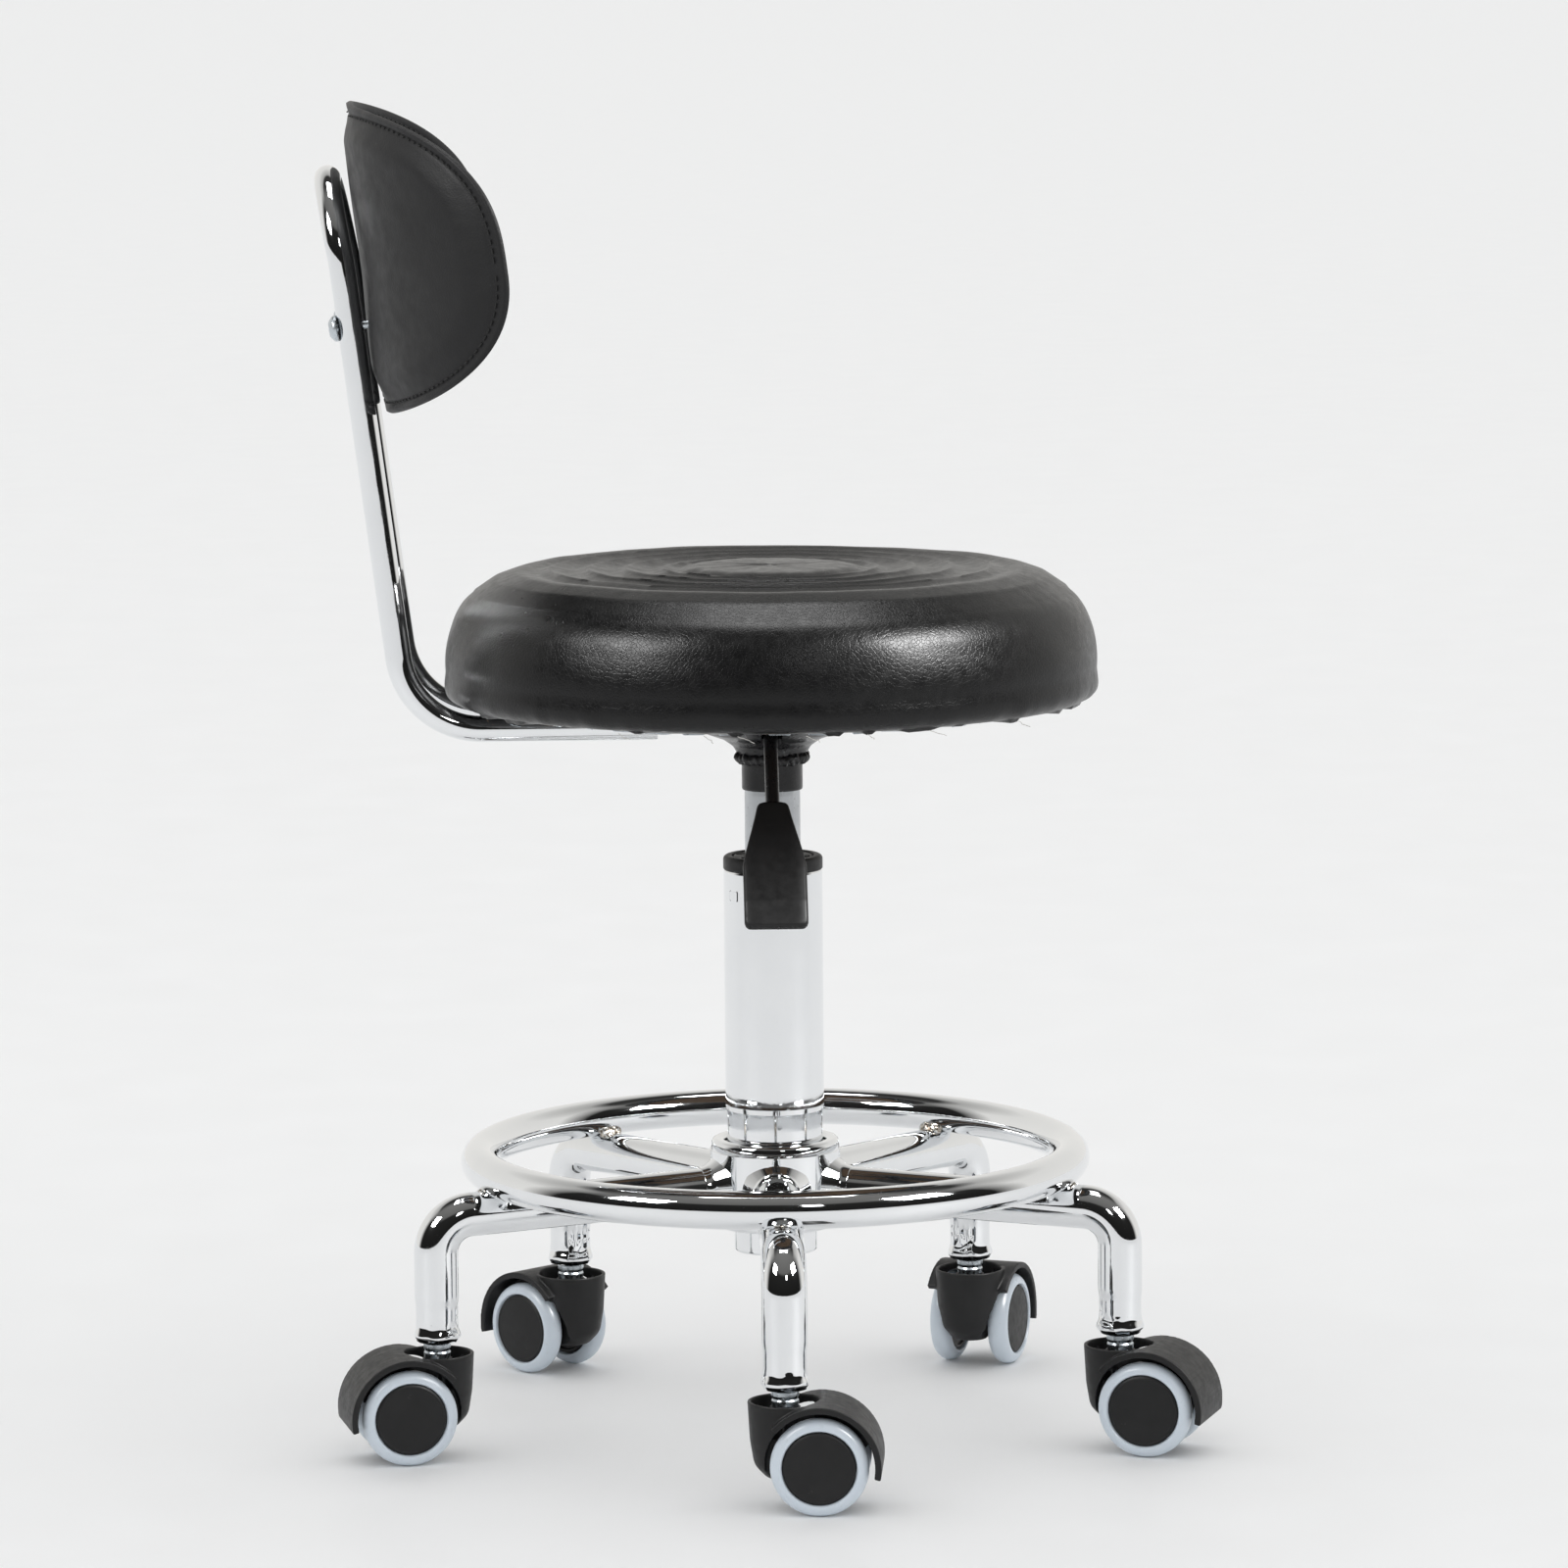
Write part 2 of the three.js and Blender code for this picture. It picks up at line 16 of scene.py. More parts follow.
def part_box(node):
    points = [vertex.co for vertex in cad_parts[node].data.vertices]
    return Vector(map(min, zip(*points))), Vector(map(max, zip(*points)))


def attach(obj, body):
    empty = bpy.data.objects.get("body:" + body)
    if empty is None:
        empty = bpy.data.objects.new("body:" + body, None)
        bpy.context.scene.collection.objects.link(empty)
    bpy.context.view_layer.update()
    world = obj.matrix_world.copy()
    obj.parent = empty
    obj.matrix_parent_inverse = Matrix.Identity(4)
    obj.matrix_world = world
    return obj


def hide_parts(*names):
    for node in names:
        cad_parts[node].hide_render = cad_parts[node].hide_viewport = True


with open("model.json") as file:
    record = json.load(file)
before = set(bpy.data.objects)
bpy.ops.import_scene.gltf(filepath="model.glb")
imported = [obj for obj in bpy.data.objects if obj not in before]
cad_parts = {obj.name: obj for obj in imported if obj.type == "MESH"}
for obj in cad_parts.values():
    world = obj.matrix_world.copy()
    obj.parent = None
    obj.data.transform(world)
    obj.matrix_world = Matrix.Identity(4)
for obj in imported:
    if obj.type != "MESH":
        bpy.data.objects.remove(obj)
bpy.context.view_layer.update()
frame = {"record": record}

random.seed(11)
scene = bpy.context.scene
MM = 0.001  # metres in a millimetre
X, Z = Vector((1, 0, 0)), Vector((0, 0, 1))

BODY_OF = {n: body for body, nodes in frame["record"]["behaviour"]["bodies"].items() for n in nodes}
SLOT_OF = {part["node"]: part["material_slot"] for part in frame["record"]["subparts"]}


# ------------------------------------------------------------------ sizes, from the frame
def corners(node):
    """Lowest and highest corner of a CAD node, in millimetres."""
    low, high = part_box(node)
    return low / MM, high / MM


ring_low, ring_high = corners("foot_ring")
RING_TUBE = (ring_high.z - ring_low.z) / 2
RING_RADIUS = (ring_high.x - ring_low.x) / 2 - RING_TUBE
RING_Z = (ring_high.z + ring_low.z) / 2
hub_low, hub_high = corners("base_hub")
HUB_RADIUS = hub_high.x
column_high = corners("outer_column")[1]
COLUMN_RADIUS = column_high.x
CAP_TOP = corners("guide_bush")[1].z
SLEEVE_LOW, SLEEVE_HIGH = corners("socket_sleeve")
BOARD_LOW, BOARD_HIGH = corners("seat_board")

# Driving dimensions that a box can't give. They are the CAD model's, but for the pad's half length,
# which is 3 mm shorter here.
BASE_TURN = 1.2  # degrees
CASTER_HEADINGS = (-3, -18, 70, 135, 193)  # degrees
LEG_END, LEG_TUBE, LEG_SLOPE, LEG_BEND, LEG_BEND_Z, LEG_BOTTOM = 179.8, 11, 1.9, 51.5, 71.6, 59.2
TRAIL, WHEEL_RADIUS, WHEEL_OFFSET, FENDER_OUTER, FENDER_INNER, FENDER_HALF = 17.2, 24, 16, 30.1, 26.9, 22
BACK_TURN, PAD_TURN = 1.6, 2.4  # degrees: the back rest on the seat, and the pad on its frame
FRAME_TUBE, FRAME_SPREAD, FRAME_Z, FRAME_BEND, FRAME_BEND_X = 6.5, 40, 365.1, 41.2, -145.3
FRAME_LEAN, FRAME_TOP, FRAME_BOW, FRAME_END_X = math.radians(7.3), 637, 2.4, -38
PAD_FLAT, PAD_BEND, PAD_HALF_LENGTH, PAD_MID_Z, PAD_HALF_HEIGHT = 30, 160, 178, 598, 75.5
PAD_REAR_X, PAD_REAR_Z = -197.7, 556
SCREW_Z = 565.4
LEVER_RADIUS, LEVER_Z, LEVER_BEND_Y, LEVER_SLOPE = 3.5, 360.4, -33, math.radians(50)
PADDLE_START, PADDLE_LENGTH = 43.6, 70.4
LEG_AXIS_Z = (LEG_BEND_Z + LEG_BEND / math.cos(math.radians(LEG_SLOPE))
              + (LEG_END - LEG_BEND) * math.tan(math.radians(LEG_SLOPE)))


# ------------------------------------------------------------------ materials
class Look:
    """A material: a Principled BSDF fed by procedural textures in the piece's own space."""

    def __init__(self, name, constants=None):
        self.material = bpy.data.materials.new(name)
        self.material.use_nodes = True
        self.nodes = self.material.node_tree.nodes
        self.links = self.material.node_tree.links
        self.surface = self.nodes["Principled BSDF"]
        self.where = self.nodes.new("ShaderNodeTexCoord").outputs["Object"]
        for socket, value in (constants or {}).items():
            self.surface.inputs[socket].default_value = value

    def feed(self, node, socket, value):
        """Links an output to a socket, or sets a constant on it."""
        if isinstance(value, bpy.types.NodeSocket):
            self.links.new(value, node.inputs[socket])
        else:
            node.inputs[socket].default_value = value

    def stretched(self, stretch):
        mapping = self.nodes.new("ShaderNodeMapping")
        self.feed(mapping, "Vector", self.where)
        mapping.inputs["Scale"].default_value = stretch
        return mapping.outputs["Vector"]

    def noise(self, size, detail=2.0, stretch=None, rough=0.5):
        """Cloudy values about 0.5, in features about `size` millimetres across."""
        texture = self.nodes.new("ShaderNodeTexNoise")
        self.feed(texture, "Vector", self.stretched(stretch) if stretch else self.where)
        texture.inputs["Scale"].default_value = 1 / (size * MM)
        texture.inputs["Detail"].default_value = detail
        texture.inputs["Roughness"].default_value = rough
        return texture.outputs["Fac"]

    def cells(self, size, feature="F1"):
        """Distance inside cells about `size` millimetres across."""
        texture = self.nodes.new("ShaderNodeTexVoronoi")
        texture.feature = feature
        self.feed(texture, "Vector", self.where)
        texture.inputs["Scale"].default_value = 1 / (size * MM)
        return texture.outputs["Distance"]

    def spread(self, value, low, high, to_low=0.0, to_high=1.0):
        """Maps low..high of a value to to_low..to_high, clamped."""
        node = self.nodes.new("ShaderNodeMapRange")
        self.feed(node, "Value", value)
        for socket, number in zip(("From Min", "From Max", "To Min", "To Max"), (low, high, to_low, to_high)):
            node.inputs[socket].default_value = number
        return node.outputs["Result"]

    def uneven(self, low, high, size, detail):
        """Cloudy values from low to high."""
        return self.spread(self.noise(size, detail), 0.3, 0.7, low, high)

    def mix(self, share, first, second):
        """A colour between two colours or colour outputs."""
        node = self.nodes.new("ShaderNodeMix")
        node.data_type = "RGBA"
        self.feed(node, 0, share)
        for index, value in ((6, first), (7, second)):
            self.feed(node, index, value if isinstance(value, bpy.types.NodeSocket) else (*value, 1.0))
        return node.outputs[2]

    def ramp(self, value, stops):
        """A colour by value, from (position, colour) stops."""
        node = self.nodes.new("ShaderNodeValToRGB")
        self.feed(node, "Fac", value)
        elements = node.color_ramp.elements
        while len(elements) < len(stops):
            elements.new(0.5)
        for element, (position, colour) in zip(elements, stops):
            element.position = position
            element.color = (*colour, 1.0)
        return node.outputs["Color"]

    def attribute(self, name):
        node = self.nodes.new("ShaderNodeAttribute")
        node.attribute_name = name
        return node.outputs["Fac"]

    def bump(self, height, depth, below=None):
        """Relief `depth` millimetres deep, on top of another relief."""
        node = self.nodes.new("ShaderNodeBump")
        self.feed(node, "Height", height)
        node.inputs["Distance"].default_value = depth * MM
        if below is not None:
            self.links.new(below, node.inputs["Normal"])
        return node.outputs["Normal"]

    def finish(self, colour, roughness, normal=None):
        self.feed(self.surface, "Base Color", colour)
        self.feed(self.surface, "Roughness", roughness)
        if normal is not None:
            self.links.new(normal, self.surface.inputs["Normal"])
        return self.material


def chrome_look():
    """Mirror plating with a faint haze and dust, burnt straw to brown where the `heat` attribute is high."""
    look = Look("chrome", {"Metallic": 1.0})
    heat = look.spread(look.noise(4, 3), 0.3, 0.7, -0.12, 0.12)
    warm = look.nodes.new("ShaderNodeMath")
    warm.operation = "MULTIPLY_ADD"
    burn = look.attribute("heat")
    look.feed(warm, 0, heat)
    look.feed(warm, 1, burn)
    look.feed(warm, 2, burn)
    plate = look.mix(look.noise(35, 3), (0.80, 0.815, 0.83), (0.87, 0.88, 0.89))
    burnt = look.ramp(warm.outputs[0], [(0.0, (0.84, 0.85, 0.86)), (0.25, (0.74, 0.70, 0.62)),
                                        (0.55, (0.42, 0.33, 0.24)), (0.85, (0.10, 0.07, 0.05))])
    colour = look.mix(look.spread(warm.outputs[0], 0.02, 0.2), plate, burnt)
    dust = look.spread(look.cells(2.6), 0.05, 0.02)
    roughness = look.spread(look.noise(14, 4), 0.35, 0.7, 0.025, 0.075)
    speckled = look.mix(dust, colour, (0.35, 0.35, 0.34))
    wavy = look.bump(look.noise(26, 1), 0.12)
    return look.finish(speckled, roughness, look.bump(look.noise(1.1, 2), 0.0035, wavy))


def satin_steel_look():
    look = Look("satin_steel", {"Metallic": 1.0})
    drawn = look.noise(0.7, 3, stretch=(1, 1, 0.02))
    colour = look.mix(look.noise(9, 4), (0.40, 0.415, 0.43), (0.60, 0.62, 0.64))
    pits = look.spread(look.cells(3.5), 0.12, 0.05)
    colour = look.mix(pits, colour, (0.20, 0.21, 0.22))
    return look.finish(colour, look.spread(drawn, 0.3, 0.7, 0.26, 0.42), look.bump(drawn, 0.012))


def zinc_look():
    look = Look("zinc", {"Metallic": 1.0})
    colour = look.mix(look.noise(3, 4), (0.46, 0.52, 0.56), (0.66, 0.69, 0.72))
    roughness = look.uneven(0.2, 0.4, 2, 3)
    return look.finish(colour, roughness, look.bump(look.noise(0.8), 0.02))


def black_paint_look():
    """Gloss enamel over drawn steel, with orange peel and dust in it."""
    look = Look("black_paint", {"Specular IOR Level": 0.4})
    dust = look.spread(look.cells(1.7), 0.09, 0.03)
    colour = look.mix(dust, (0.008, 0.008, 0.009), (0.06, 0.06, 0.06))
    peel = look.bump(look.noise(1.6, 1), 0.03)
    lumps = look.bump(look.noise(7, 2), 0.10, peel)
    return look.finish(colour, look.uneven(0.22, 0.38, 6, 4), lumps)


def black_plastic_look():
    """Spark-eroded moulded plastic, a little paler where it is rubbed."""
    look = Look("black_plastic", {"Specular IOR Level": 0.28})
    colour = look.mix(look.noise(12, 4), (0.009, 0.009, 0.0095), (0.016, 0.016, 0.0165))
    scuffs = look.spread(look.noise(5, 5, stretch=(1, 1, 6), rough=0.7), 0.66, 0.76)
    colour = look.mix(scuffs, colour, (0.030, 0.030, 0.030))
    grain = look.bump(look.noise(0.45, 2), 0.02)
    return look.finish(colour, look.uneven(0.40, 0.52, 4, 3), grain)


def tyre_look():
    """Pale bluish grey polyurethane, slightly translucent, with a dusty tread."""
    look = Look("grey_tyre", {"Subsurface Weight": 0.15, "Subsurface Radius": (0.002, 0.002, 0.002)})
    colour = look.mix(look.noise(9, 4), (0.56, 0.63, 0.70), (0.62, 0.68, 0.74))
    colour = look.mix(look.spread(look.noise(2.5, 5, rough=0.7), 0.62, 0.8), colour, (0.45, 0.47, 0.49))
    roughness = look.uneven(0.26, 0.40, 6, 3)
    return look.finish(colour, roughness, look.bump(look.noise(3, 2), 0.03))


def rubber_look():
    look = Look("black_rubber", {"Specular IOR Level": 0.3})
    colour = look.mix(look.noise(3, 3), (0.012, 0.012, 0.012), (0.025, 0.025, 0.025))
    roughness = look.uneven(0.6, 0.8, 2, 3)
    return look.finish(colour, roughness, look.bump(look.noise(0.6), 0.03))


def plywood_darkened_for_shade_look():
    look = Look("plywood", {"Specular IOR Level": 0.3})
    grain = look.noise(3, 4, stretch=(0.08, 1, 1))
    # These browns, knots included, are far darker than raw plywood: painted shade standing in for the shadow
    # under the seat, over the real grain and knots.
    colour = look.ramp(grain, [(0.3, (0.05, 0.03, 0.018)), (0.55, (0.085, 0.055, 0.034)),
                               (0.75, (0.12, 0.08, 0.05))])
    knots = look.spread(look.cells(60), 0.16, 0.05)
    colour = look.mix(knots, colour, (0.03, 0.018, 0.01))
    return look.finish(colour, look.spread(grain, 0.3, 0.7, 0.6, 0.8), look.bump(grain, 0.15))


def seat_leather_look():
    """Glossy coated fabric: fine creased grain with soft wrinkles under it."""
    look = Look("seat_leather", {"Specular IOR Level": 0.3})
    colour = look.mix(look.noise(30, 4), (0.003, 0.003, 0.0033), (0.006, 0.006, 0.0063))
    wrinkles = look.bump(look.noise(13, 3, stretch=(1, 1, 1.6)), 0.13)
    creases = look.bump(look.spread(look.cells(2.1, "DISTANCE_TO_EDGE"), 0.0, 0.12), 0.035, wrinkles)
    grain = look.bump(look.noise(0.7, 3), 0.045, creases)
    return look.finish(colour, look.uneven(0.27, 0.37, 5, 4), grain)


def back_leather_look():
    """Matt coated fabric with a fine pebble grain and a few pale scratches."""
    look = Look("back_leather", {"Specular IOR Level": 0.22, "Sheen Weight": 0.03})
    colour = look.mix(look.noise(40, 4), (0.010, 0.010, 0.0105), (0.017, 0.017, 0.018))
    scratch = look.spread(look.noise(1.2, 3, stretch=(1, 0.5, 0.05), rough=0.6), 0.735, 0.78)
    colour = look.mix(scratch, colour, (0.055, 0.055, 0.056))
    soft = look.bump(look.noise(17, 3), 0.30)
    pebbles = look.bump(look.cells(0.9), 0.06, soft)
    return look.finish(colour, look.uneven(0.46, 0.58, 8, 4), pebbles)


def thread_look(name, dark, pale):
    look = Look(name, {"Specular IOR Level": 0.3})
    twist = look.noise(0.5, 2, stretch=(1, 1, 2))
    roughness = look.spread(twist, 0.3, 0.7, 0.6, 0.8)
    return look.finish(look.mix(twist, dark, pale), roughness, look.bump(twist, 0.05))


def weld_look():
    """Plated-over weld metal: lumpy, partly burnt."""
    look = Look("weld_bead", {"Metallic": 1.0})
    colour = look.ramp(look.noise(2.2, 4), [(0.35, (0.16, 0.12, 0.09)), (0.5, (0.50, 0.46, 0.40)),
                                            (0.65, (0.80, 0.80, 0.80))])
    roughness = look.uneven(0.12, 0.4, 1.5, 3)
    return look.finish(colour, roughness, look.bump(look.noise(0.8, 2), 0.08))


def floor_look():
    look = Look("studio_floor", {"Specular IOR Level": 0.2})
    colour = look.mix(look.noise(90, 5), (0.865, 0.87, 0.875), (0.885, 0.89, 0.89))
    roughness = look.uneven(0.5, 0.7, 60, 4)
    return look.finish(colour, roughness, look.bump(look.noise(40, 3), 0.2))


LOOKS = {
    "chrome": chrome_look(),
    "satin_steel": satin_steel_look(),
    "zinc": zinc_look(),
    "black_paint": black_paint_look(),
    "black_plastic": black_plastic_look(),
    "black_rubber": rubber_look(),
    "grey_tyre": tyre_look(),
    "plywood": plywood_darkened_for_shade_look(),
    "seat_leather": seat_leather_look(),
    "back_leather": back_leather_look(),
}
BLACK_THREAD = thread_look("black_thread", (0.006, 0.006, 0.006), (0.03, 0.03, 0.03))
PALE_THREAD = thread_look("pale_thread", (0.50, 0.49, 0.46), (0.75, 0.74, 0.70))
WELD = weld_look()


# ------------------------------------------------------------------ mesh helpers
def rounded(points, radii, closed=False, steps=6):
    """A polyline in two or three dimensions whose corners become arcs; a radius of 0 keeps a corner."""
    path = []
    for i, (point, radius) in enumerate(zip(points, radii)):
        here = Vector(point)
        if radius == 0 or (not closed and i in (0, len(points) - 1)):
            path.append(here)
            continue
        before = Vector(points[i - 1]) - here
        after = Vector(points[(i + 1) % len(points)]) - here
        half = before.angle(after) / 2
        cut = min(radius / math.tan(half), 0.49 * before.length, 0.49 * after.length)
        before.normalize()
        after.normalize()
        centre = here + (before + after).normalized() * (cut / math.cos(half))
        first, last = here + before * cut - centre, here + after * cut - centre
        sweep_angle = math.pi - 2 * half
        for k in range(steps + 1):
            t = k / steps
            mixed = first * math.sin((1 - t) * sweep_angle) + last * math.sin(t * sweep_angle)
            path.append(centre + mixed / math.sin(sweep_angle))
    return path


def supported(path, closed):
    """Adds points near both ends of every long straight run, which keeps its shading flat."""
    result = []
    for i, here in enumerate(path):
        result.append(here)
        way = path[(i + 1) % len(path)] - here
        if way.length > 3 and (closed or i < len(path) - 1):
            result += [here + way * (0.4 / way.length), here + way * (1 - 0.4 / way.length)]
    return result


def outline(*corner_list, closed=False, steps=5):
    """A turned outline from (radius, height) or (radius, height, corner radius)."""
    radii = [c[2] if len(c) > 2 else 0 for c in corner_list]
    return supported(rounded([c[:2] for c in corner_list], radii, closed, steps), closed)


def skin(rows, closed_rows=False, closed_columns=True):
    """Faces between rows of point numbers."""
    faces = []
    pairs = list(zip(rows, rows[1:])) + ([(rows[-1], rows[0])] if closed_rows else [])
    for lower, upper in pairs:
        for j in range(len(lower) if closed_columns else len(lower) - 1):
            k = (j + 1) % len(lower)
            face = list(dict.fromkeys((lower[j], lower[k], upper[k], upper[j])))
            if len(face) > 2:
                faces.append(face)
    return faces


def turned(profile, steps=96, closed=False):
    """Points and faces of (radius, height) points turned about Z."""
    points, rows = [], []
    for radius, height in profile:
        first = len(points)
        if radius < 1e-4:
            points.append(Vector((0, 0, height)))
            rows.append([first] * steps)
            continue
        for j in range(steps):
            angle = math.tau * j / steps
            points.append(Vector((radius * math.cos(angle), radius * math.sin(angle), height)))
        rows.append(list(range(first, first + steps)))
    return points, skin(rows, closed)


def lofted(sections, closed=False):
    """Points and faces of a row of closed sections, capped at both ends unless it runs round."""
    points = [Vector(p) for section in sections for p in section]
    size = len(sections[0])
    rows = [list(range(i * size, (i + 1) * size)) for i in range(len(sections))]
    faces = skin(rows, closed)
    if not closed:
        faces += [rows[0], rows[-1]]
    return points, faces


def swept(path, radius, sides=32, closed=False, shape=None):
    """A bar along a path; shape(i, angle) scales the radius at path point i."""
    path = [Vector(p) for p in path]
    count = len(path)
    sections = []
    normal = None
    for i, here in enumerate(path):
        before = path[i - 1] if closed or i else here
        after = path[(i + 1) % count] if closed or i < count - 1 else here
        tangent = (after - before).normalized()
        if normal is None:
            normal = tangent.orthogonal().normalized()
        normal = (normal - tangent * normal.dot(tangent)).normalized()
        across = tangent.cross(normal)
        section = []
        for j in range(sides):
            angle = math.tau * j / sides
            reach = radius * (shape(i, angle, normal, across) if shape else 1.0)
            section.append(here + normal * (math.cos(angle) * reach) + across * (math.sin(angle) * reach))
        sections.append(section)
    return lofted(sections, closed)


def combined(*shapes):
    """Several (points, faces) as one."""
    points, faces = [], []
    for some_points, some_faces in shapes:
        first = len(points)
        points += some_points
        faces += [[first + i for i in face] for face in some_faces]
    return points, faces


def moved(shape, matrix):
    points, faces = shape
    return [matrix @ Vector(p) for p in points], faces


def block(low, high, radius=0.0):
    """A box from corner to corner."""
    (x0, y0, z0), (x1, y1, z1) = low, high
    section = [(x0, y0), (x1, y0), (x1, y1), (x0, y1)]
    if radius:
        section = [tuple(p) for p in rounded(section, [radius] * 4, closed=True)]
    return lofted([[(x, y, z0) for x, y in section], [(x, y, z1) for x, y in section]])


def make_mesh(name, points, faces, sharp=35):
    mesh = bpy.data.meshes.new(name)
    mesh.from_pydata([tuple(Vector(p) * MM) for p in points], [], faces)
    work = bmesh.new()
    work.from_mesh(mesh)
    bmesh.ops.recalc_face_normals(work, faces=work.faces)
    work.to_mesh(mesh)
    work.free()
    smooth(mesh, sharp)
    return mesh


def smooth(mesh, sharp=35):
    mesh.polygons.foreach_set("use_smooth", [True] * len(mesh.polygons))
    mesh.set_sharp_from_angle(angle=math.radians(sharp))


def loose_object(name, mesh):
    obj = bpy.data.objects.new(name, mesh)
    scene.collection.objects.link(obj)
    return obj


def piece(name, shape, like, replaces=(), look=None, place=None, sharp=35):
    """One shown piece. It rides with the CAD node `like` and takes its finish from that node's slot."""
    mesh = shape if isinstance(shape, bpy.types.Mesh) else make_mesh(name, *shape, sharp=sharp)
    obj = loose_object(name, mesh)
    if place is not None:
        obj.matrix_world = place
    if not mesh.materials:
        mesh.materials.append(look or LOOKS[SLOT_OF[like]])
    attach(obj, BODY_OF[like])
    if replaces:
        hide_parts(*replaces)
    return obj


def stands_for(node, shape, **options):
    """A finer piece in the place of one CAD node."""
    return piece(f"{node}_skin", shape, node, replaces=[node], **options)


class Solid:
    """A closed body to cut and join, kept a hundred times life size because Blender's solver is coarse."""
    SIZE = 100

    def __init__(self, shape):
        self.obj = self.made(shape)

    def made(self, shape):
        points, faces = shape
        return loose_object("solid", make_mesh("solid", [Vector(p) * self.SIZE for p in points], faces))

    def modify(self, kind, **settings):
        modifier = self.obj.modifiers.new(kind, kind)
        for name, value in settings.items():
            setattr(modifier, name, value)
        graph = bpy.context.evaluated_depsgraph_get()
        mesh = bpy.data.meshes.new_from_object(self.obj.evaluated_get(graph))
        self.obj.modifiers.clear()
        self.obj.data = mesh
        return self

    def combine(self, operation, shape):
        tool = self.made(shape)
        self.modify("BOOLEAN", operation=operation, solver="EXACT", object=tool)
        bpy.data.objects.remove(tool)
        return self

    def add(self, *shapes):
        for shape in shapes:
            self.combine("UNION", shape)
        return self

    def cut(self, *shapes):
        for shape in shapes:
            self.combine("DIFFERENCE", shape)
        return self

    def soften(self, voxel, rounds, keep_share):
        """Rounds every edge, as moulding does."""
        self.modify("REMESH", mode="VOXEL", voxel_size=voxel * MM * self.SIZE)
        self.modify("SMOOTH", factor=0.5, iterations=rounds)
        return self.modify("DECIMATE", ratio=keep_share)

    def mesh(self, name, sharp):
        """The finished mesh at life size."""
        mesh = self.obj.data
        bpy.data.objects.remove(self.obj)
        mesh.name = name
        mesh.transform(Matrix.Scale(1 / self.SIZE, 4))
        mesh.materials.clear()
        smooth(mesh, sharp)
        return mesh


def paint(mesh, name, value):
    """Stores value(point in millimetres) on every vertex."""
    attribute = mesh.attributes.new(name, "FLOAT", "POINT")
    attribute.data.foreach_set("value", [value(v.co / MM) for v in mesh.vertices])


def turn_z(degrees):
    return Matrix.Rotation(math.radians(degrees), 4, "Z")


def shift(x=0.0, y=0.0, z=0.0):
    return Matrix.Translation(Vector((x, y, z)))


def place_mm(matrix):
    """A matrix in millimetres as one in metres."""
    result = matrix.copy()
    result.translation = matrix.translation * MM
    return result


def ease(value):
    value = min(max(value, 0.0), 1.0)
    return value * value * (3 - 2 * value)


def bell(value, width):
    return math.exp(-(value / width) ** 2)


# ------------------------------------------------------------------ casters
def hood_mesh():
    """The moulded hood: an open socket round the stem and a fender over both wheels, trailing along +X."""
    corners = [(0, 15.5), (9, 15.5), (15.2, 22), (17.2, 34), (18.3, 53.3), (0, 53.3)]
    socket = turned(rounded(corners, [0, 5, 9, 20, 0, 0], steps=5), 64)
    fender_section = [(TRAIL + r * math.cos(math.radians(a)), WHEEL_RADIUS + r * math.sin(math.radians(a)))
                      for r, way in ((FENDER_OUTER, 1), (FENDER_INNER, -1))
                      for a in [(-11 + 151 * k / 40) for k in range(41)][::way]]
    fender = lofted([[(x, y, z) for x, z in fender_section] for y in (-FENDER_HALF, FENDER_HALF)])
    web_section = [(-6, 22), (8, 17), (17, 14.5), (25, 18), (38, 30), (42, 36), (36, 45), (26, 50), (10, 50),
                   (-6, 42)]
    web = lofted([[(x, y, z) for x, z in web_section] for y in (-8.4, 8.4)])
    well_radius = FENDER_INNER - 0.3
    disc = turned([(0, -20), (well_radius, -20), (well_radius, 20), (0, 20)], 72)
    on_side = Matrix.Rotation(math.pi / 2, 4, "X")
    wells = [moved(disc, shift(TRAIL, y, WHEEL_RADIUS) @ on_side) for y in (-29, 29)]
    mouth = turned([(0, 36), (15.4, 36), (16.6, 53.3), (16.7, 60), (0, 60)], 64)
    ribs = [moved(block((6, -0.6, 35), (16.4, 0.6, 48.8)), turn_z(30 + 60 * k)) for k in range(6)]
    boss = turned([(5.9, 34), (7.5, 34), (7.5, 50.6), (5.9, 50.6)], 40, closed=True)
    hood = Solid(socket).add(fender, web).cut(*wells, mouth).add(boss, *ribs)
    mesh = hood.soften(0.5, 4, 0.16).mesh("caster_hood", 60)
    for vertex in mesh.vertices:  # the parting line along the crest of the fender
        x, y, z = vertex.co / MM
        out = Vector((x - TRAIL, 0, z - WHEEL_RADIUS))
        if out.length > FENDER_OUTER - 1 and abs(y) < 0.5 and 5 < math.degrees(out.angle(X)) < 118:
            vertex.co -= out.normalized() * (0.22 * MM)
    mesh.materials.append(LOOKS["black_plastic"])
    return mesh


